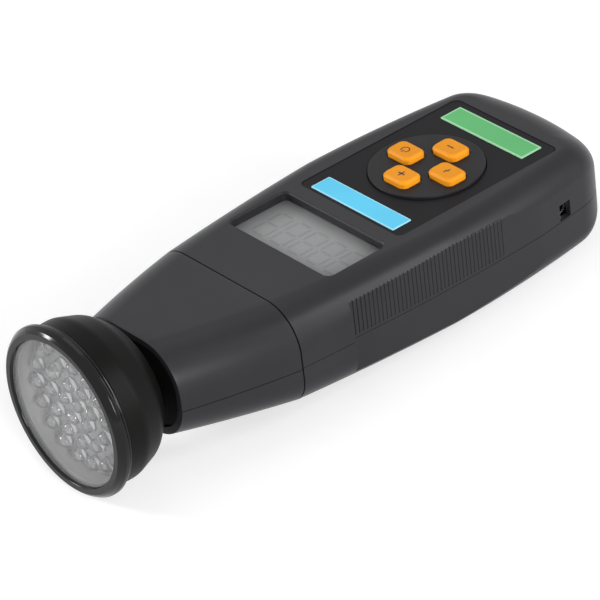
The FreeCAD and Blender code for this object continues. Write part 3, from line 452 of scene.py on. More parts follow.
MARK = moulded("key_mark", (0.07, 0.028, 0.012), 0.55, grain=2400.0, depth=0.003, tint=0.1)
GREY = moulded("inner_grey", (0.24, 0.235, 0.24), 0.4, depth=0.006)
CLEAR = thin_clear("lens_clear", (0.95, 0.96, 0.97), 0.10)
PANE = thin_clear("pane_clear", (0.80, 0.81, 0.80), 0.07)
CELL_GLASS = dict(grain=300.0, depth=0.001, specular=0.4)
LCD = moulded("display_grey", (0.205, 0.206, 0.212), 0.3, tint=0.05, **CELL_GLASS)
GHOST = moulded("display_ghost", (0.155, 0.157, 0.165), 0.3, tint=0.04, **CELL_GLASS)
STEEL = metal("screw_steel", (0.42, 0.42, 0.43), 0.35)
CONTACT = metal("contact_steel", (0.72, 0.71, 0.68), 0.25)
CAN = metal("can_metal", (0.62, 0.63, 0.66), 0.3)
BOARD = moulded("board_green", (0.02, 0.12, 0.05), 0.35, grain=900.0, depth=0.01)
JACKET = moulded("cell_jacket", (0.05, 0.05, 0.056), 0.22, grain=500.0, depth=0.002)
JACKET_BAND = moulded("cell_band", (0.72, 0.42, 0.08), 0.22, grain=500.0, depth=0.002)
SLEEVE = moulded("wire_sleeve", (0.32, 0.02, 0.02), 0.4)
LED_RESIN = clear_resin("led_resin", (0.98, 0.98, 0.98))


# Case forms, drawn by the same rules as the solids but finer.

def side_y(x, inset):
    """Half width of the body case at X."""
    if x >= WIDEST_X:
        radius = REAR_RADIUS
    else:
        reach, sag = WIDEST_X - SEAM_X, BODY_HALF - SEAM_HALF
        radius = (reach ** 2 + sag ** 2) / (2 * sag)
    return BODY_HALF - radius + math.sqrt((radius - inset) ** 2 - (x - WIDEST_X) ** 2)


def outline_stations():
    """One side of the outline: each as (place for an inset, top round, bottom round)."""
    side_centre = Vector((WIDEST_X, BODY_HALF - REAR_RADIUS))
    tail_centre = Vector((TAIL_X - TAIL_RADIUS, 0))
    r1, r2 = REAR_RADIUS - CORNER_RADIUS, TAIL_RADIUS - CORNER_RADIUS
    span = tail_centre - side_centre
    along = (r1 ** 2 - r2 ** 2 + span.length ** 2) / (2 * span.length)
    rise = math.sqrt(r1 ** 2 - along ** 2)
    unit = span.normalized()
    corner_centre = max((side_centre + unit * along + Vector((-unit.y, unit.x)) * s for s in (rise, -rise)),
                        key=lambda p: p.y)

    def blend(first, second, share):
        """Rounding radii between two places."""
        return tuple(r[first] + (r[second] - r[first]) * share for r in (TOP_ROUNDS, BOTTOM_ROUNDS))

    def on_arc(centre, angle, radius):
        """A point of an arc for any inset."""
        return lambda inset: centre + Vector((math.cos(angle), math.sin(angle))) * (radius - inset)

    def beside(x):
        """A point of the long side for any inset."""
        return lambda inset: Vector((x, side_y(x, inset)))

    out1, out2 = corner_centre - side_centre, corner_centre - tail_centre
    from_angle, to_angle = math.atan2(out1.y, out1.x), math.atan2(out2.y, out2.x)
    rear_end = corner_centre.x + CORNER_RADIUS * math.cos(from_angle)
    steps = 36
    stations = [(beside(SEAM_X + (WIDEST_X - SEAM_X) * k / steps), *blend(0, 1, k / steps))
                for k in range(steps)]
    steps = 20
    stop = rear_end - 3 * MM
    stations += [(beside(WIDEST_X + (stop - WIDEST_X) * k / steps), *blend(1, 1, 0)) for k in range(steps)]
    steps = 14
    for k in range(steps + 1):
        angle = from_angle + (to_angle - from_angle) * k / steps
        share = k / steps
        eased = share * share * (3 - 2 * share)
        stations.append((on_arc(corner_centre, angle, CORNER_RADIUS), *blend(1, 2, eased)))
    steps = 12
    for k in range(1, steps + 1):
        stations.append((on_arc(tail_centre, to_angle * (1 - k / steps), TAIL_RADIUS), *blend(2, 2, 0)))
    return stations


def body_half_form(name, inset, level, split):
    """The part of the body case above or below a height, drawn in by an inset."""
    top, bottom = DECK - inset, CASE_FLOOR + inset * FLOOR_WALL / WALL
    stations = outline_stations()
    steps = 14
    rings = []

    def ring_at(turn, flat=None):
        """One ring of the form, at a turn of the rounding or at a height."""
        ring = []
        for place, top_round, bottom_round in stations:
            radius = (top_round if level == "top" else bottom_round) - inset
            point = place(inset + radius * (1 - math.cos(turn)))
            rise = radius * (1 - math.sin(turn))
            z = top - rise if level == "top" else bottom + rise
            ring.append(Vector((point.x, point.y, flat if flat is not None else z)))
        return ring + [Vector((p.x, -p.y, p.z)) for p in reversed(ring[:-1])]

    rings.append(ring_at(0.0, split))
    for k in range(steps + 1):
        rings.append(ring_at(math.pi / 2 * k / steps))
    return skin(name, rings)


def grip_points(inset):
    """Where the grip panel starts, is widest, and runs out."""
    end = GRIP_X + GRIP_LENGTH
    middle = (GRIP_X + end) / 2
    return ((GRIP_X, side_y(GRIP_X, 0) - 2.0 * MM - inset), (middle, side_y(middle, 0) - 1.2 * MM - inset),
            (end, side_y(end, 0) - inset + 0.02 * MM))


def circle_through(a, b, c):
    """Centre and radius of the circle through three points."""
    ax, ay = a
    bx, by = b
    cx, cy = c
    d = 2 * (ax * (by - cy) + bx * (cy - ay) + cx * (ay - by))
    aa, bb, cc = ax * ax + ay * ay, bx * bx + by * by, cx * cx + cy * cy
    ux = (aa * (by - cy) + bb * (cy - ay) + cc * (ay - by)) / d
    uy = (aa * (cx - bx) + bb * (ax - cx) + cc * (bx - ax)) / d
    return Vector((ux, uy)), math.hypot(ax - ux, ay - uy)


def grip_y(x, inset):
    """Half width between the grip panels at X."""
    centre, radius = circle_through(*grip_points(inset))
    return centre.y + math.sqrt(radius ** 2 - (x - centre.x) ** 2)


def grip_cutter(inset, side):
    """What a grip panel takes off one side of the case."""
    first, last = grip_points(inset)[0], grip_points(inset)[2]
    steps = 60
    xs = [first[0] + (last[0] - first[0]) * k / steps for k in range(steps + 1)]
    far = BODY_HALF + 5 * MM
    corners = [(first[0] - inset, far), (first[0] - inset, first[1])] if inset else [(first[0], far)]
    corners += [(x, grip_y(x, inset)) for x in xs] + [(last[0], far)]
    rings = [[Vector((x, side * y, z)) for x, y in corners] for z in (CASE_FLOOR - MM, DECK + MM)]
    return skin("grip_cut", rings)


def rib_cutter():
    """Upright grooves between the grip's ribs, on both sides."""
    pitch, width, depth, run = 1.6 * MM, 0.6 * MM, 0.22 * MM, 64 * MM
    section = ((0, 3 * MM), (1, 3 * MM), (1, 0), (0.75, -depth), (0.25, -depth), (0, 0))
    cutters = []
    for side in (1, -1):
        for index in range(int(run / pitch)):
            x = GRIP_X + pitch * (index + 0.8)
            y = grip_y(x, 0)
            rings = [[Vector((x + width * share, side * (y + out), z)) for share, out in section]
                     for z in (PARTING + 1.2 * MM, DECK)]
            cutters.append(skin("rib", rings))
    return joined("rib_cut", cutters)


def make_upper_shell():
    """Upper half of the body, open at the display, the keypad and the socket."""
    shell = body_half_form("body_upper", 0, "top", PARTING + HAIRLINE)
    inner = body_half_form("inner", WALL, "top", PARTING - 2 * MM)
    for side in (1, -1):
        boolean(shell, grip_cutter(0, side))
        boolean(inner, grip_cutter(WALL, side))
    soften(shell, CREST, 24, 3)
    boolean(shell, inner)
    glass_low, glass_high = low("display_window"), high("display_window")
    margin = 2.5 * MM
    frame_block = box_mesh("frame_block", (glass_low.x - 0.3 * MM, glass_low.y - 0.3 * MM, glass_high.z),
                           (glass_high.x + 0.3 * MM, glass_high.y + 0.3 * MM, DECK - 1 * MM))
    boolean(shell, frame_block, "UNION")
    sides = (glass_low.x + margin, glass_high.x - margin, glass_low.y + margin, glass_high.y - margin)
    opening = rounded_outline(*sides, WINDOW_CORNER)
    boolean(shell, slab("display_cut", opening, glass_high.z - MM, DECK + MM))
    flare = 0.55 * MM
    wide = rounded_outline(sides[0] - flare, sides[1] + flare, sides[2] - flare, sides[3] + flare,
                           WINDOW_CORNER + flare)
    rings = [[Vector((x, y, z)) for x, y in outline] for outline, z in
             ((opening, DECK - 0.6 * MM), (wide, DECK - 0.12 * MM), (wide, DECK + MM))]
    boolean(shell, skin("display_flare", rings))
    over_low, over_high = low("overlay_panel"), high("overlay_panel")
    pocket = rounded_outline(over_low.x - 0.15 * MM, over_high.x + 0.15 * MM, over_low.y - 0.15 * MM,
                             over_high.y + 0.15 * MM, 2.5 * MM)
    boolean(shell, slab("pocket_cut", pocket, over_low.z, DECK + MM))
    disc_low, disc_high = low("keypad_disc"), high("keypad_disc")
    cx = (disc_low.x + disc_high.x) / 2
    boolean(shell, post("disc_cut", cx, 0, DISC_HOLE, DECK - 5 * MM, DECK + MM, 96))
    jack_low, jack_high = low("side_socket"), high("side_socket")
    mx = (jack_low.x + jack_high.x) / 2
    way = box_mesh("socket_cut", (mx - 2.6 * MM, -BODY_HALF - MM, jack_low.z - 0.2 * MM),
                   (mx + 2.6 * MM, jack_low.y + 2 * MM, jack_low.z + 5.8 * MM))
    boolean(shell, way)
    soften(shell)
    boolean(shell, rib_cutter())
    finish_piece(shell, CHARCOAL, ["upper_shell"])


def make_lower_shell():
    """Lower half of the body, with the battery bay, door seat and screw recesses."""
    shell = body_half_form("body_lower", 0, "bottom", PARTING - HAIRLINE)
    inner = body_half_form("inner", WALL, "bottom", PARTING + 2 * MM)
    for side in (1, -1):
        boolean(shell, grip_cutter(0, side))
        boolean(inner, grip_cutter(WALL, side))
    soften(shell, CREST, 24, 3)
    boolean(shell, inner)
    cells_high = high("battery_cells")
    x0, x1 = low("front_contacts").x, high("rear_contacts").x
    half = cells_high.y + 0.5 * MM
    top = cells_high.z + 0.3 * MM
    boolean(shell, box_mesh("bay", (x0 - 1.4 * MM, -half - 1.4 * MM, CASE_FLOOR + MM),
                            (x1 + 1.4 * MM, half + 1.4 * MM, top + 1.4 * MM)), "UNION")
    places = screw_places("case_screws")
    for x, y in places:
        boolean(shell, post("post", x, y, POST_RADIUS, CASE_FLOOR + MM, PARTING - 2 * HAIRLINE), "UNION")
    boolean(shell, box_mesh("bay_cut", (x0, -half, CASE_FLOOR - MM), (x1, half, top)))
    door_low, door_high = low("battery_door"), high("battery_door")
    seat = 0.3 * MM
    boolean(shell, box_mesh("door_cut", (x0 - 1.6 * MM, door_low.y - seat, CASE_FLOOR - MM),
                            (x1 + 1.6 * MM, door_high.y + seat, CASE_FLOOR + 1.6 * MM)))
    for x, y in places:
        boolean(shell, post("recess", x, y, RECESS_RADIUS, CASE_FLOOR - MM, SCREW_SEAT))
    soften(shell)
    finish_piece(shell, CHARCOAL, ["lower_shell"])


def post(name, x, y, radius, z0, z1, sides=40):
    """An upright round post."""
    return slab(name, circle(x, y, radius, sides), z0, z1)


def screw_places(node):
    """Where a group's screws stand: the middle of each part of its mesh that hangs together."""
    mesh = frame["nodes"][node].data
    world = frame["nodes"][node].matrix_world
    bm = bmesh.new()
    bm.from_mesh(mesh)
    bmesh.ops.remove_doubles(bm, verts=bm.verts, dist=1e-6)
    seen, places = set(), []
    for start in bm.verts:
        if start.index in seen:
            continue
        stack, island = [start], []
        seen.add(start.index)
        while stack:
            v = stack.pop()
            island.append(world @ v.co)
            for e in v.link_edges:
                o = e.other_vert(v)
                if o.index not in seen:
                    seen.add(o.index)
                    stack.append(o)
        xs, ys = [p.x for p in island], [p.y for p in island]
        places.append(((min(xs) + max(xs)) / 2, (min(ys) + max(ys)) / 2))
    bm.free()
    return places


def nose_section(x, half, top, bottom, r_top, r_bottom, steps=14):
    """Points of a rounded rectangle across the nose."""
    points = []
    for side, first, radius in ((1, 0, r_top), (-1, 90, r_top), (-1, 180, r_bottom), (1, 270, r_bottom)):
        cy = side * (half - radius)
        cz = top - radius if first < 180 else bottom + radius
        for k in range(steps + 1):
            turn = math.radians(first + 90 * k / steps)
            points.append(Vector((x, cy + radius * math.cos(turn), cz + radius * math.sin(turn))))
    return points


def nose_rings(inset, end):
    """Sections of the nose from its front face to a place before the seam."""
    near = (NOSE_HALF, DECK, DECK - NOSE_DEPTH, NOSE_ROUND, NOSE_ROUND)
    far = (SEAM_HALF, DECK, CASE_FLOOR, TOP_ROUNDS[0], BOTTOM_ROUNDS[0])
    steps = 30
    rings = []
    for k in range(steps + 1):
        share = k / steps * end
        half, top, bottom, r_top, r_bottom = [a + (b - a) * share for a, b in zip(near, far)]
        half += 0.6 * MM * 4 * share * (1 - share)
        rings.append(nose_section(NOSE_X + (SEAM_X - NOSE_X) * share, half - inset, top - inset,
                                  bottom + inset * FLOOR_WALL / WALL, r_top - inset, r_bottom - inset))
    return rings


def make_nose():
    """Both halves of the nose, as a tube cut at the parting line."""
    end = 1 - SEAM_GAP / (SEAM_X - NOSE_X)
    far = 0.2
    for name, z0, z1, node in (("nose_top", NOSE_PARTING + HAIRLINE, far, "nose_upper"),
                               ("nose_bottom", -far, NOSE_PARTING - HAIRLINE, "nose_lower")):
        tube = skin(name, nose_rings(0, end) + list(reversed(nose_rings(WALL, end))), looped=True)
        boolean(tube, box_mesh("half", (-far, -far, z0), (far, far, z1)), "INTERSECT")
        if node == "nose_lower":
            for x, y in screw_places("nose_screws"):
                boolean(tube, post("post", x, y, POST_RADIUS, CASE_FLOOR + 1.5 * MM,
                                   NOSE_PARTING - 2 * HAIRLINE), "UNION")
                boolean(tube, post("recess", x, y, RECESS_RADIUS, CASE_FLOOR - MM, SCREW_SEAT))
        soften(tube)
        finish_piece(tube, CHARCOAL, [node])


# Lamp head.

def make_head():
    """Bezel, clamp ring, bowl, lens and the inner ring, all turned."""
    r = BEZEL_R
    opening = r - RIM_WIDTH
    seat = opening + 1.25 * MM
    back = high("bezel_ring").x - FRONT
    bezel = [(1.0 * MM, opening, 0.3), (0, opening + 0.6 * MM, 0.4), (0, r - 2.0 * MM, 0.6),
             (0.7 * MM, r - 1.1 * MM, 0.8), (back - 1.6 * MM, r - 0.1 * MM, 0.6), (back - 0.4 * MM, r, 0.4),
             (back, r - 0.5 * MM, 0.3), (back, r - GROOVE_DEPTH, 0), (back, seat, 0), (1.0 * MM, seat, 0)]
    finish_piece(lathe("lamp_bezel", round_profile(bezel, MM, 8)), GLOSS_BLACK, ["bezel_ring"])
    ring_r = high("clamp_ring").y
    ring_end = high("clamp_ring").x - FRONT
    ring_foot = ring_r - GROOVE_DEPTH
    ring_front, ring_back = back + 0.35 * MM, ring_end - 0.45 * MM
    ring = [(back, seat, 0), (back, ring_foot, 0), (ring_front, ring_foot, 0), (ring_front, ring_r, 0.35),
            (ring_back, ring_r, 0.35), (ring_back, ring_foot, 0), (ring_end, ring_foot, 0),
            (ring_end, seat, 0)]
    finish_piece(lathe("lamp_clamp_ring", round_profile(ring, MM, 6)), GLOSS_BLACK, ["clamp_ring"])
    board = 24.35 * MM
    bowl_r = high("head_bowl").y
    bowl_back = 26.5 * MM
    neck = 11 * MM
    neck_end = high("head_bowl").x - FRONT
    bowl = [(ring_end, seat, 0), (ring_end, bowl_r - 0.2 * MM, 0.4), (12 * MM, bowl_r - 0.1 * MM, 8),
            (20 * MM, bowl_r - 2.8 * MM, 9), (bowl_back - 0.6 * MM, bowl_r - 8.5 * MM, 7),
            (bowl_back, neck, 0.6), (neck_end, neck, 0.3), (neck_end, 8.5 * MM, 0), (23.7 * MM, 8.5 * MM, 0),
            (23.7 * MM, 15 * MM, 0), (14.2 * MM, board - 2 * MM, 0), (14.2 * MM, board, 0),
            (PLATE_BACK, board, 0), (PLATE_BACK, seat, 0)]
    finish_piece(lathe("lamp_bowl", round_profile(bowl, MM, 10)), BLACK, ["head_bowl"])
    glass = seat - 0.15 * MM
    lens = [(1.02 * MM, AXIS_HOLE, 0), (2.6 * MM, AXIS_HOLE, 0), (2.6 * MM, glass, 0.1),
            (1.02 * MM, glass, 0.1)]
    finish_piece(lathe("lamp_lens", round_profile(lens, MM, 3)), CLEAR, ["front_lens"])
    inner = glass - 1.4 * MM
    wall = [(2.62 * MM, inner, 0.2), (8.38 * MM, inner, 0.2), (8.38 * MM, glass, 0), (2.62 * MM, glass, 0)]
    finish_piece(lathe("lamp_inner_ring", round_profile(wall, MM, 3)), GREY, ["reflector_ring"])


def led_places():
    """One LED in the middle and three circles of 6, 12 and 18."""
    places = [(0.0, 0.0)]
    for number in (1, 2, 3):
        for index in range(6 * number):
            angle = 2 * math.pi * index / (6 * number)
            radius = number * LED_PITCH_MM * MM
            places.append((radius * math.cos(angle), radius * math.sin(angle)))
    return places


def make_leds():
    """Dome LEDs with a cup inside, and the plate they stand out of."""
    domes, cups = [], []
    for y, z in led_places():
        centre = (y, AXIS_Z + z)
        profile = [(12.5 * MM, AXIS_HOLE), (12.5 * MM, LED_RADIUS), (LED_TOP + LED_RADIUS, LED_RADIUS)]
        for k in range(1, 8):
            turn = math.pi / 2 * k / 7
            profile.append((LED_TOP + LED_RADIUS - LED_RADIUS * math.sin(turn),
                            max(LED_RADIUS * math.cos(turn), AXIS_HOLE)))
        domes.append(lathe("dome", profile, 24, True, centre))
        cup = [(LED_TOP + 3.6 * MM, 1.25 * MM), (LED_TOP + 4.5 * MM, 0.7 * MM),
               (LED_TOP + 4.5 * MM, AXIS_HOLE), (LED_TOP + 5.2 * MM, AXIS_HOLE),
               (LED_TOP + 5.2 * MM, 1.5 * MM), (LED_TOP + 3.6 * MM, 1.5 * MM)]
        cups.append(lathe("cup", cup, 16, True, centre))
    finish_piece(joined("lamp_leds_clear", domes), LED_RESIN, ["lamp_leds"])
    finish_piece(joined("lamp_led_cups", cups), CAN)
    rim = BEZEL_R - RIM_WIDTH + 1.1 * MM
    plate = lathe("lamp_plate", [(PLATE_FRONT, AXIS_HOLE), (PLATE_BACK, AXIS_HOLE), (PLATE_BACK, rim),
                                 (PLATE_FRONT, rim)])
    hole = LED_RADIUS + 0.15 * MM
    rod = [(7 * MM, AXIS_HOLE), (11 * MM, AXIS_HOLE), (11 * MM, hole), (7 * MM, hole)]
    holes = [lathe("hole", rod, 24, True, (y, AXIS_Z + z)) for y, z in led_places()]
    boolean(plate, joined("holes", holes))
    finish_piece(plate, GREY, ["led_plate"])


# Display, overlay, labels and keypad.

def make_display():
    """Window pane, grey display with faint unlit digits."""
    for node, name, material in (("display_window", "display_pane", PANE),
                                 ("display_glass", "display_cell", LCD)):
        a, b = low(node), high(node)
        outline = rounded_outline(a.x, b.x, a.y, b.y, WINDOW_CORNER)
        finish_piece(slab(name, outline, a.z + 0.01 * MM, b.z - 0.01 * MM, 0.15 * MM, 2), material, [node])
    make_ghost_digits()


def bar(x, y, z, length, width, across, thick=0.004 * MM):
    """A six-sided segment of a digit."""
    end, w = length / 2, width / 2
    shape = [(-end, 0), (-end + w, w), (end - w, w), (end, 0), (end - w, -w), (-end + w, -w)]
    if across:
        shape = [(b, a) for a, b in shape]
    return skin("bar", [[Vector((x + a, y + b, h)) for a, b in shape] for h in (z, z + thick)])


def make_ghost_digits():
    """Five unlit figures of seven bars, whose tops point to the lamp."""
    a, b = low("display_window"), high("display_window")
    z = a.z - 0.009 * MM
    x = (a.x + b.x) / 2 + 0.3 * MM
    height, width, stroke = 13.5 * MM, 6.4 * MM, 1.15 * MM
    bars = []
    for index in range(5):
        y = (index - 2) * 8.9 * MM
        for place in (-1, 0, 1):
            bars.append(bar(x + place * height / 2, y, z, width - stroke, stroke, True))
        for up in (-1, 1):
            for side in (-1, 1):
                bars.append(bar(x + up * height / 4, y + side * width / 2, z, height / 2 - stroke * 0.6,
                                stroke, False))
    finish_piece(joined("display_unlit_bars", bars), GHOST)


def make_overlay():
    """The dark panel and its two plain strips."""
    a, b = low("overlay_panel"), high("overlay_panel")
    panel = slab("overlay_sheet", rounded_outline(a.x, b.x, a.y, b.y, 2.5 * MM), a.z, b.z, 0.12 * MM, 2)
    cx = (low("keypad_disc").x + high("keypad_disc").x) / 2
    boolean(panel, post("disc_hole", cx, 0, DISC_HOLE, a.z - MM, b.z + MM, 96))
    finish_piece(panel, DARK_FILM, ["overlay_panel"])
    for node, material in (("blue_label", PALE_BLUE), ("green_label", PALE_GREEN)):
        a, b = low(node), high(node)
        strip = slab(node + "_strip", rounded_outline(a.x, b.x, a.y, b.y, 0.4 * MM, 4), a.z, b.z, 0.1 * MM, 2)
        finish_piece(strip, material, [node])
    for node, material, border, slot in (("blue_label", BLUE, 0.45 * MM, "blue_film"),
                                         ("green_label", GREEN, 0.7 * MM, "green_film")):
        a, b = low(node), high(node)
        outline = rounded_outline(a.x + border, b.x - border, a.y + border, b.y - border, 0.3 * MM, 4)
        field = finish_piece(slab(node + "_field", outline, b.z - 0.02 * MM, b.z + 0.02 * MM), material)


def make_keypad():
    """The round disc with its four openings, and the keys that slide in them."""
    a, b = low("keypad_disc"), high("keypad_disc")
    cx = (a.x + b.x) / 2
    disc = slab("keypad_plate", circle(cx, 0, DISC_RADIUS, 128), a.z, b.z, 0.35 * MM, 4)
    boolean(disc, post("flange", cx, 0, b.x - cx, a.z, a.z + MM, 128), "UNION")
    for key in KEYS:
        ka, kb = low(key), high(key)
        gap = 0.3 * MM
        outline = rounded_outline(ka.x + KEY_FLANGE - gap, kb.x - KEY_FLANGE + gap,
                                  ka.y + KEY_FLANGE - gap, kb.y - KEY_FLANGE + gap, 2.5 * MM)
        boolean(disc, slab("key_cut", outline, a.z - MM, b.z + MM))
    soften(disc, 0.12 * MM)
    finish_piece(disc, DISC, ["keypad_disc"])
    for key in KEYS:
        make_key(key)


def make_key(key):
    """One key: a bevelled cap with a faintly hollow top, its flange and its stem."""
    a, b = low(key), high(key)
    x0, x1, y0, y1 = a.x + KEY_FLANGE, b.x - KEY_FLANGE, a.y + KEY_FLANGE, b.y - KEY_FLANGE
    flange_low = low("keypad_disc").z - 1.1 * MM
    top_outline = rounded_outline(x0, x1, y0, y1, 2.4 * MM, 10)
    cx, cy = (x0 + x1) / 2, (y0 + y1) / 2

    flange_top = flange_low + 0.8 * MM
    levels = [(0, flange_top)]
    levels += [(inset * MM, b.z - drop * MM) for inset, drop in
               ((0, 0.95), (0.04, 0.82), (0.14, 0.68), (0.62, 0.16), (0.76, 0.05), (0.95, 0), (1.6, 0.03),
                (2.6, 0.10), (3.6, 0.14))]
    half = ((x1 - x0) / 2, (y1 - y0) / 2)
    cap = skin(key + "_cap", [drawn_in(top_outline, (cx, cy), half, inset, z) for inset, z in levels])
    plate = slab(key + "_flange", rounded_outline(a.x, b.x, a.y, b.y, 0.4 * MM, 4), flange_low, flange_top)
    stem_half = 1.4 * MM
    square = rounded_outline(cx - stem_half, cx + stem_half, cy - stem_half, cy + stem_half, 0.3 * MM, 4)
    stem = slab(key + "_stem", square, a.z, flange_low)
    finish_piece(joined(key + "_moulding", [cap, plate, stem]), ORANGE, [key], key, 50)
    make_mark(key, cx, cy, b.z - 0.12 * MM)


def make_mark(key, x, y, z):
    """A small generic sign on each key: plus, minus, power ring, flash."""
    parts = []
    thick = 0.03 * MM
    if key in ("up_key", "down_key"):
        parts.append(plain_bar(x, y, z, 0.55 * MM, 3.0 * MM, thick))
        if key == "up_key":
            parts.append(plain_bar(x, y, z, 3.0 * MM, 0.55 * MM, thick))
    elif key == "right_key":
        parts.append(ring_mark(x, y, z, 1.45 * MM, 0.42 * MM, thick))
        parts.append(plain_bar(x - 1.3 * MM, y, z, 1.6 * MM, 0.42 * MM, thick))
    else:
        bolt = [(-1.8, 0.25), (0.15, 0.75), (0.1, 0.15), (1.8, -0.2), (-0.15, -0.75), (-0.1, -0.1)]
        parts.append(skin("bolt", [[Vector((x + a * MM, y + b * MM, h)) for a, b in bolt]
                                   for h in (z, z + thick)]))
    mark = joined(key + "_sign", parts)
    finish_piece(mark, MARK, (), key)


def plain_bar(x, y, z, long_x, long_y, thick):
    """A thin flat bar."""
    outline = rounded_outline(x - long_x / 2, x + long_x / 2, y - long_y / 2, y + long_y / 2,
                              min(long_x, long_y) * 0.3, 3)
    return slab("bar", outline, z, z + thick)


def ring_mark(x, y, z, radius, stroke, thick, gap=0.55):
    """An open ring whose gap faces the lamp."""
    steps = 40
    inner, outer = [], []
    for k in range(steps + 1):
        turn = math.pi + gap + (2 * math.pi - 2 * gap) * k / steps
        for r, points in ((radius - stroke / 2, inner), (radius + stroke / 2, outer)):
            points.append((x + r * math.cos(turn), y + r * math.sin(turn)))
    bm = bmesh.new()
    rows = [[bm.verts.new((px, py, h)) for px, py in points]
            for h in (z, z + thick) for points in (outer, inner)]
    lower_out, lower_in, upper_out, upper_in = rows
    for k in range(steps):
        for r1, r2 in ((lower_out, lower_in), (upper_in, upper_out), (upper_out, lower_out),
                       (lower_in, upper_in)):
            bm.faces.new((r1[k], r1[k + 1], r2[k + 1], r2[k]))
    for k in (0, steps):
        bm.faces.new((lower_out[k], lower_in[k], upper_in[k], upper_out[k]))
    return from_bmesh("ring", bm)


# What lies inside or underneath.

def make_battery_door():
    """The door with its two hooks, latch tongue and finger grooves."""
    a, b = low("battery_door"), high("battery_door")
    thick = 1.3 * MM
    plate = slab("door_plate", rounded_outline(door_front(), b.x, a.y, b.y, 0.5 * MM, 4), a.z, a.z + thick)
    soften(plate, 0.2 * MM)
    grooves = [box_mesh("groove", (b.x - (4 + 1.6 * k) * MM, -9 * MM, a.z - MM),
                        (b.x - (3.3 + 1.6 * k) * MM, 9 * MM, a.z + 0.35 * MM)) for k in range(4)]
    boolean(plate, joined("grooves", grooves))
    parts = []
    hook_low, hook_top = a.z + 2.9 * MM, a.z + 3.7 * MM
    riser = low("front_contacts").x + 0.3 * MM
    for y in (14.6 * MM, -14.6 * MM):
        for x0, x1, z0, z1 in ((riser, riser + MM, a.z + thick - 0.1 * MM, hook_top),
                               (a.x, riser + 0.5 * MM, hook_low, hook_top)):
            parts.append(box_mesh("hook", (x0, y - 4 * MM, z0), (x1, y + 4 * MM, z1)))
    latch = high("rear_contacts").x - 0.6 * MM
    parts.append(box_mesh("latch", (latch - MM, -6 * MM, a.z + thick - 0.1 * MM), (latch, 6 * MM, b.z)))
    for part in parts:
        boolean(plate, part, "UNION")
    finish_piece(plate, CHARCOAL, ["battery_door"], "battery_door")


def door_front():
    """X of the door plate's front edge, from the record's hinge."""
    for joint in frame["joints"]:
        if joint["name"] == "battery_door_hinge":
            return joint["pos_m"][0]
    return low("battery_door").x


def make_cells():
    """Four cells with plain jackets, a band and turned ends."""
    a, b = low("battery_cells"), high("battery_cells")
    cz = (a.z + b.z) / 2
    pitch = 14.6 * MM
    jackets, bands, caps = [], [], []
    for index in range(4):
        y = (index - 1.5) * pitch
        flip = index % 2 == 0

        def along(d):
            """Distance from the tip end, turned round for every other cell."""
            return (a.x + d if flip else b.x - d) - FRONT

        body = [(1.6, 5.6), (1.6, 6.7), (1.9, 7.05), (49.6, 7.05), (50.05, 6.6), (50.05, 5.6), (49.0, 5.4),
                (3.0, 5.4)]
        jackets.append(lathe("jacket", [(along(d * MM), r * MM) for d, r in body], 64, True, (y, cz)))
        band = [(2.2, 7.08), (14.0, 7.08), (14.0, 7.0), (2.2, 7.0)]
        bands.append(lathe("band", [(along(d * MM), r * MM) for d, r in band], 64, True, (y, cz)))
        tip = [(0.0, 0.01), (0.0, 2.3), (0.3, 2.7), (1.3, 2.7), (1.5, 5.5), (2.6, 5.5), (2.6, 0.01)]
        caps.append(lathe("tip", [(along(d * MM), r * MM) for d, r in tip], 48, True, (y, cz)))
        end = [(49.8, 0.01), (49.8, 5.5), (50.0, 5.5), (50.0, 0.01)]
        caps.append(lathe("end", [(along(d * MM), r * MM) for d, r in end], 48, True, (y, cz)))
    finish_piece(joined("cell_jackets", jackets), JACKET, ["battery_cells"])
    finish_piece(joined("cell_bands", bands), JACKET_BAND)
    finish_piece(joined("cell_caps", caps), CONTACT)


def make_screws():
    """Pan-head screws with a cross recess, seen in their holes from below."""
    seat = SCREW_SEAT
    for node in ("case_screws", "nose_screws"):
        screws = []
        for x, y in screw_places(node):
            head = post("head", x, y, 2.6 * MM, seat - 2 * MM, seat, 32)
            for dx, dy in ((1.5, 0.28), (0.28, 1.5)):
                boolean(head, box_mesh("cross", (x - dx * MM, y - dy * MM, seat - 3 * MM),
                                       (x + dx * MM, y + dy * MM, seat - 1.1 * MM)))
            soften(head, 0.12 * MM)
            screws += [head, post("shank", x, y, 1.38 * MM, seat - 0.1 * MM, high(node).z, 24)]
        finish_piece(joined(node + "_driven", screws), STEEL, [node])


def make_socket():
    """The jack's black body with a bright ring in its mouth."""
    a, b = low("side_socket"), high("side_socket")
    cx = (a.x + b.x) / 2
    cz = a.z + 2.8 * MM
    body = box_mesh("jack_body", a, b)
    bore = tube_y("bore", cx, cz, a.y - MM, a.y + 11 * MM, 1.8 * MM, 0)
    boolean(body, bore)
    soften(body, 0.1 * MM)
    finish_piece(body, BLACK, ["side_socket"])
    ring = tube_y("jack_ring", cx, cz, a.y - 0.25 * MM, a.y + 0.4 * MM, 2.5 * MM, 1.85 * MM)
    finish_piece(ring, CONTACT)


def tube_y(name, cx, cz, y0, y1, outer, inner, sides=40):
    """A tube or rod across the instrument."""
    def ring(radius, y):
        """One ring of the tube."""
        return [Vector((x, y, z)) for x, z in circle(cx, cz, radius, sides)]

    if inner:
        return skin(name, [ring(inner, y0), ring(outer, y0), ring(outer, y1), ring(inner, y1)], looped=True)
    return skin(name, [ring(outer, y0), ring(outer, y1)])


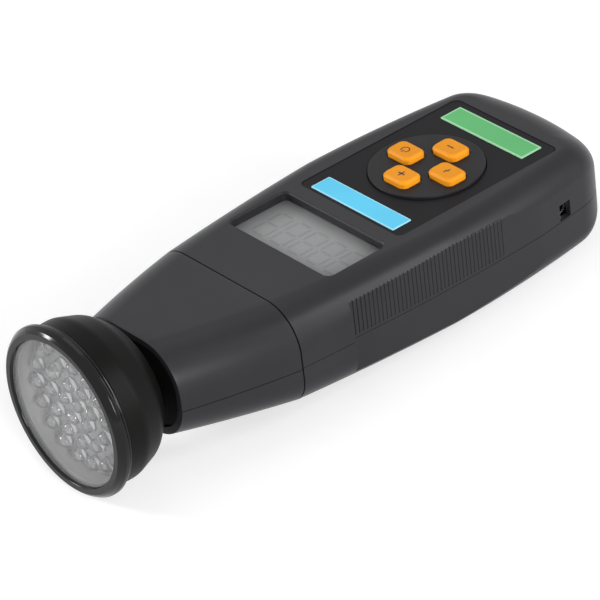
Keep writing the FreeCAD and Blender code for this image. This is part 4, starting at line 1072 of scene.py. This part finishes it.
def paint_nodes():
    """Materials for the CAD nodes that stay in view."""
    for node, material in {"nose_collar": BLACK, "head_nut": BLACK, "led_board": BOARD, "lamp_lead": SLEEVE,
                           "display_frame": BLACK, "key_switches": BLACK, "main_board": BOARD,
                           "board_chips": BLACK, "pulse_capacitor": CAN, "front_contacts": CONTACT,
                           "rear_contacts": CONTACT, "board_screws": STEEL}.items():
        obj = frame["nodes"][node]
        for slot in obj.material_slots:
            slot.material = material


# Stage: floor, light and camera.

def seen_rays(tree):
    """1 for rays that show the surroundings: to the camera, in gloss and through clear plastic."""
    path = tree.nodes.new("ShaderNodeLightPath")
    last = None
    for kind in ("Is Camera Ray", "Is Glossy Ray", "Is Transmission Ray"):
        if last is None:
            last = path.outputs[kind]
            continue
        most = tree.nodes.new("ShaderNodeMath")
        most.operation = "MAXIMUM"
        tree.links.new(last, most.inputs[0])
        tree.links.new(path.outputs[kind], most.inputs[1])
        last = most.outputs[0]
    return last


def make_floor():
    """A pale floor that the bezel's rim and the tail both rest on."""
    rim_x = FRONT + 2.5 * MM
    slope = CASE_FLOOR / (TAIL_X - 11.5 * MM - rim_x)
    size = 3.0
    bm = bmesh.new()
    for x, y in ((-size, -size), (size, -size), (size, size), (-size, size)):
        bm.verts.new((x, y, (x - rim_x) * slope - 0.05 * MM))
    bm.faces.new(bm.verts)
    floor = from_bmesh("floor", bm)
    mat, tree, shader, where = principled("floor_white")
    paper = noise(tree, where, 60.0, 5.0)
    tone = ramp(tree, paper.outputs["Fac"], [(0.3, (0.59, 0.59, 0.59)), (0.7, (0.61, 0.61, 0.61))])
    tree.links.new(tone.outputs["Color"], shader.inputs["Base Color"])
    shader.inputs["Roughness"].default_value = 0.9
    shader.inputs["Specular IOR Level"].default_value = 0.1
    shader.inputs["Emission Color"].default_value = (1, 1, 1, 1)
    glow = tree.nodes.new("ShaderNodeMath")
    glow.operation = "MULTIPLY"
    glow.inputs[1].default_value = FLOOR_GLOW
    tree.links.new(seen_rays(tree), glow.inputs[0])
    tree.links.new(glow.outputs[0], shader.inputs["Emission Strength"])
    floor.data.materials.append(mat)


def area_light(name, place, aim, size, power):
    """A soft rectangular lamp aimed at a point."""
    data = bpy.data.lights.new(name, "AREA")
    data.shape = "RECTANGLE"
    data.size, data.size_y = size
    data.energy = power
    obj = bpy.data.objects.new(name, data)
    bpy.context.scene.collection.objects.link(obj)
    obj.location = place
    obj.rotation_euler = (Vector(aim) - Vector(place)).to_track_quat("-Z", "Y").to_euler()


def make_light():
    """A white surround and soft lamps."""
    world = bpy.data.worlds.new("studio")
    bpy.context.scene.world = world
    world.use_nodes = True
    tree = world.node_tree
    back = tree.nodes["Background"]
    back.inputs["Color"].default_value = (1, 1, 1, 1)
    level = tree.nodes.new("ShaderNodeMath")
    level.operation = "MULTIPLY_ADD"
    level.inputs[1].default_value = 1.0 - WORLD_LIGHT
    level.inputs[2].default_value = WORLD_LIGHT
    tree.links.new(seen_rays(tree), level.inputs[0])
    tree.links.new(level.outputs[0], back.inputs["Strength"])
    body, head = (0.02, 0, 0.03), (-0.09, 0, 0.03)
    area_light("overhead", (0.0, 0.25, 1.0), body, (0.8, 0.6), 1.2)
    area_light("side_softbox", (0.62, -1.02, 0.62), body, (0.14, 1.1), 9.0)
    area_light("front_softbox", (-0.46, -1.06, 0.42), head, (0.36, 0.36), 11.0)
    area_light("head_lamp", (-0.75, 0.95, 0.50), head, (0.3, 0.3), 10.0)


def make_camera():
    """The camera at the photograph's angle."""
    a, e = math.radians(CAMERA_AZIMUTH), math.radians(CAMERA_ELEVATION)
    back = Vector((math.sin(a) * math.cos(e), -math.cos(a) * math.cos(e), math.sin(e)))
    data = bpy.data.cameras.new("camera")
    data.lens = CAMERA_LENS
    data.sensor_width = 36.0
    data.clip_start, data.clip_end = 0.05, 20.0
    camera = bpy.data.objects.new("camera", data)
    bpy.context.scene.collection.objects.link(camera)
    camera.location = CAMERA_AIM + back * CAMERA_DISTANCE
    turn = (-back).to_track_quat("-Z", "Y").to_matrix()
    camera.rotation_euler = (turn @ Matrix.Rotation(math.radians(CAMERA_ROLL), 3, "Z")).to_euler()
    bpy.context.scene.camera = camera


make_camera()
make_light()
make_floor()
make_upper_shell()
make_lower_shell()
make_nose()
make_head()
make_leds()
make_display()
make_overlay()
make_keypad()
make_battery_door()
make_cells()
make_screws()
make_socket()
paint_nodes()

bpy.context.scene.view_settings.view_transform = "Standard"
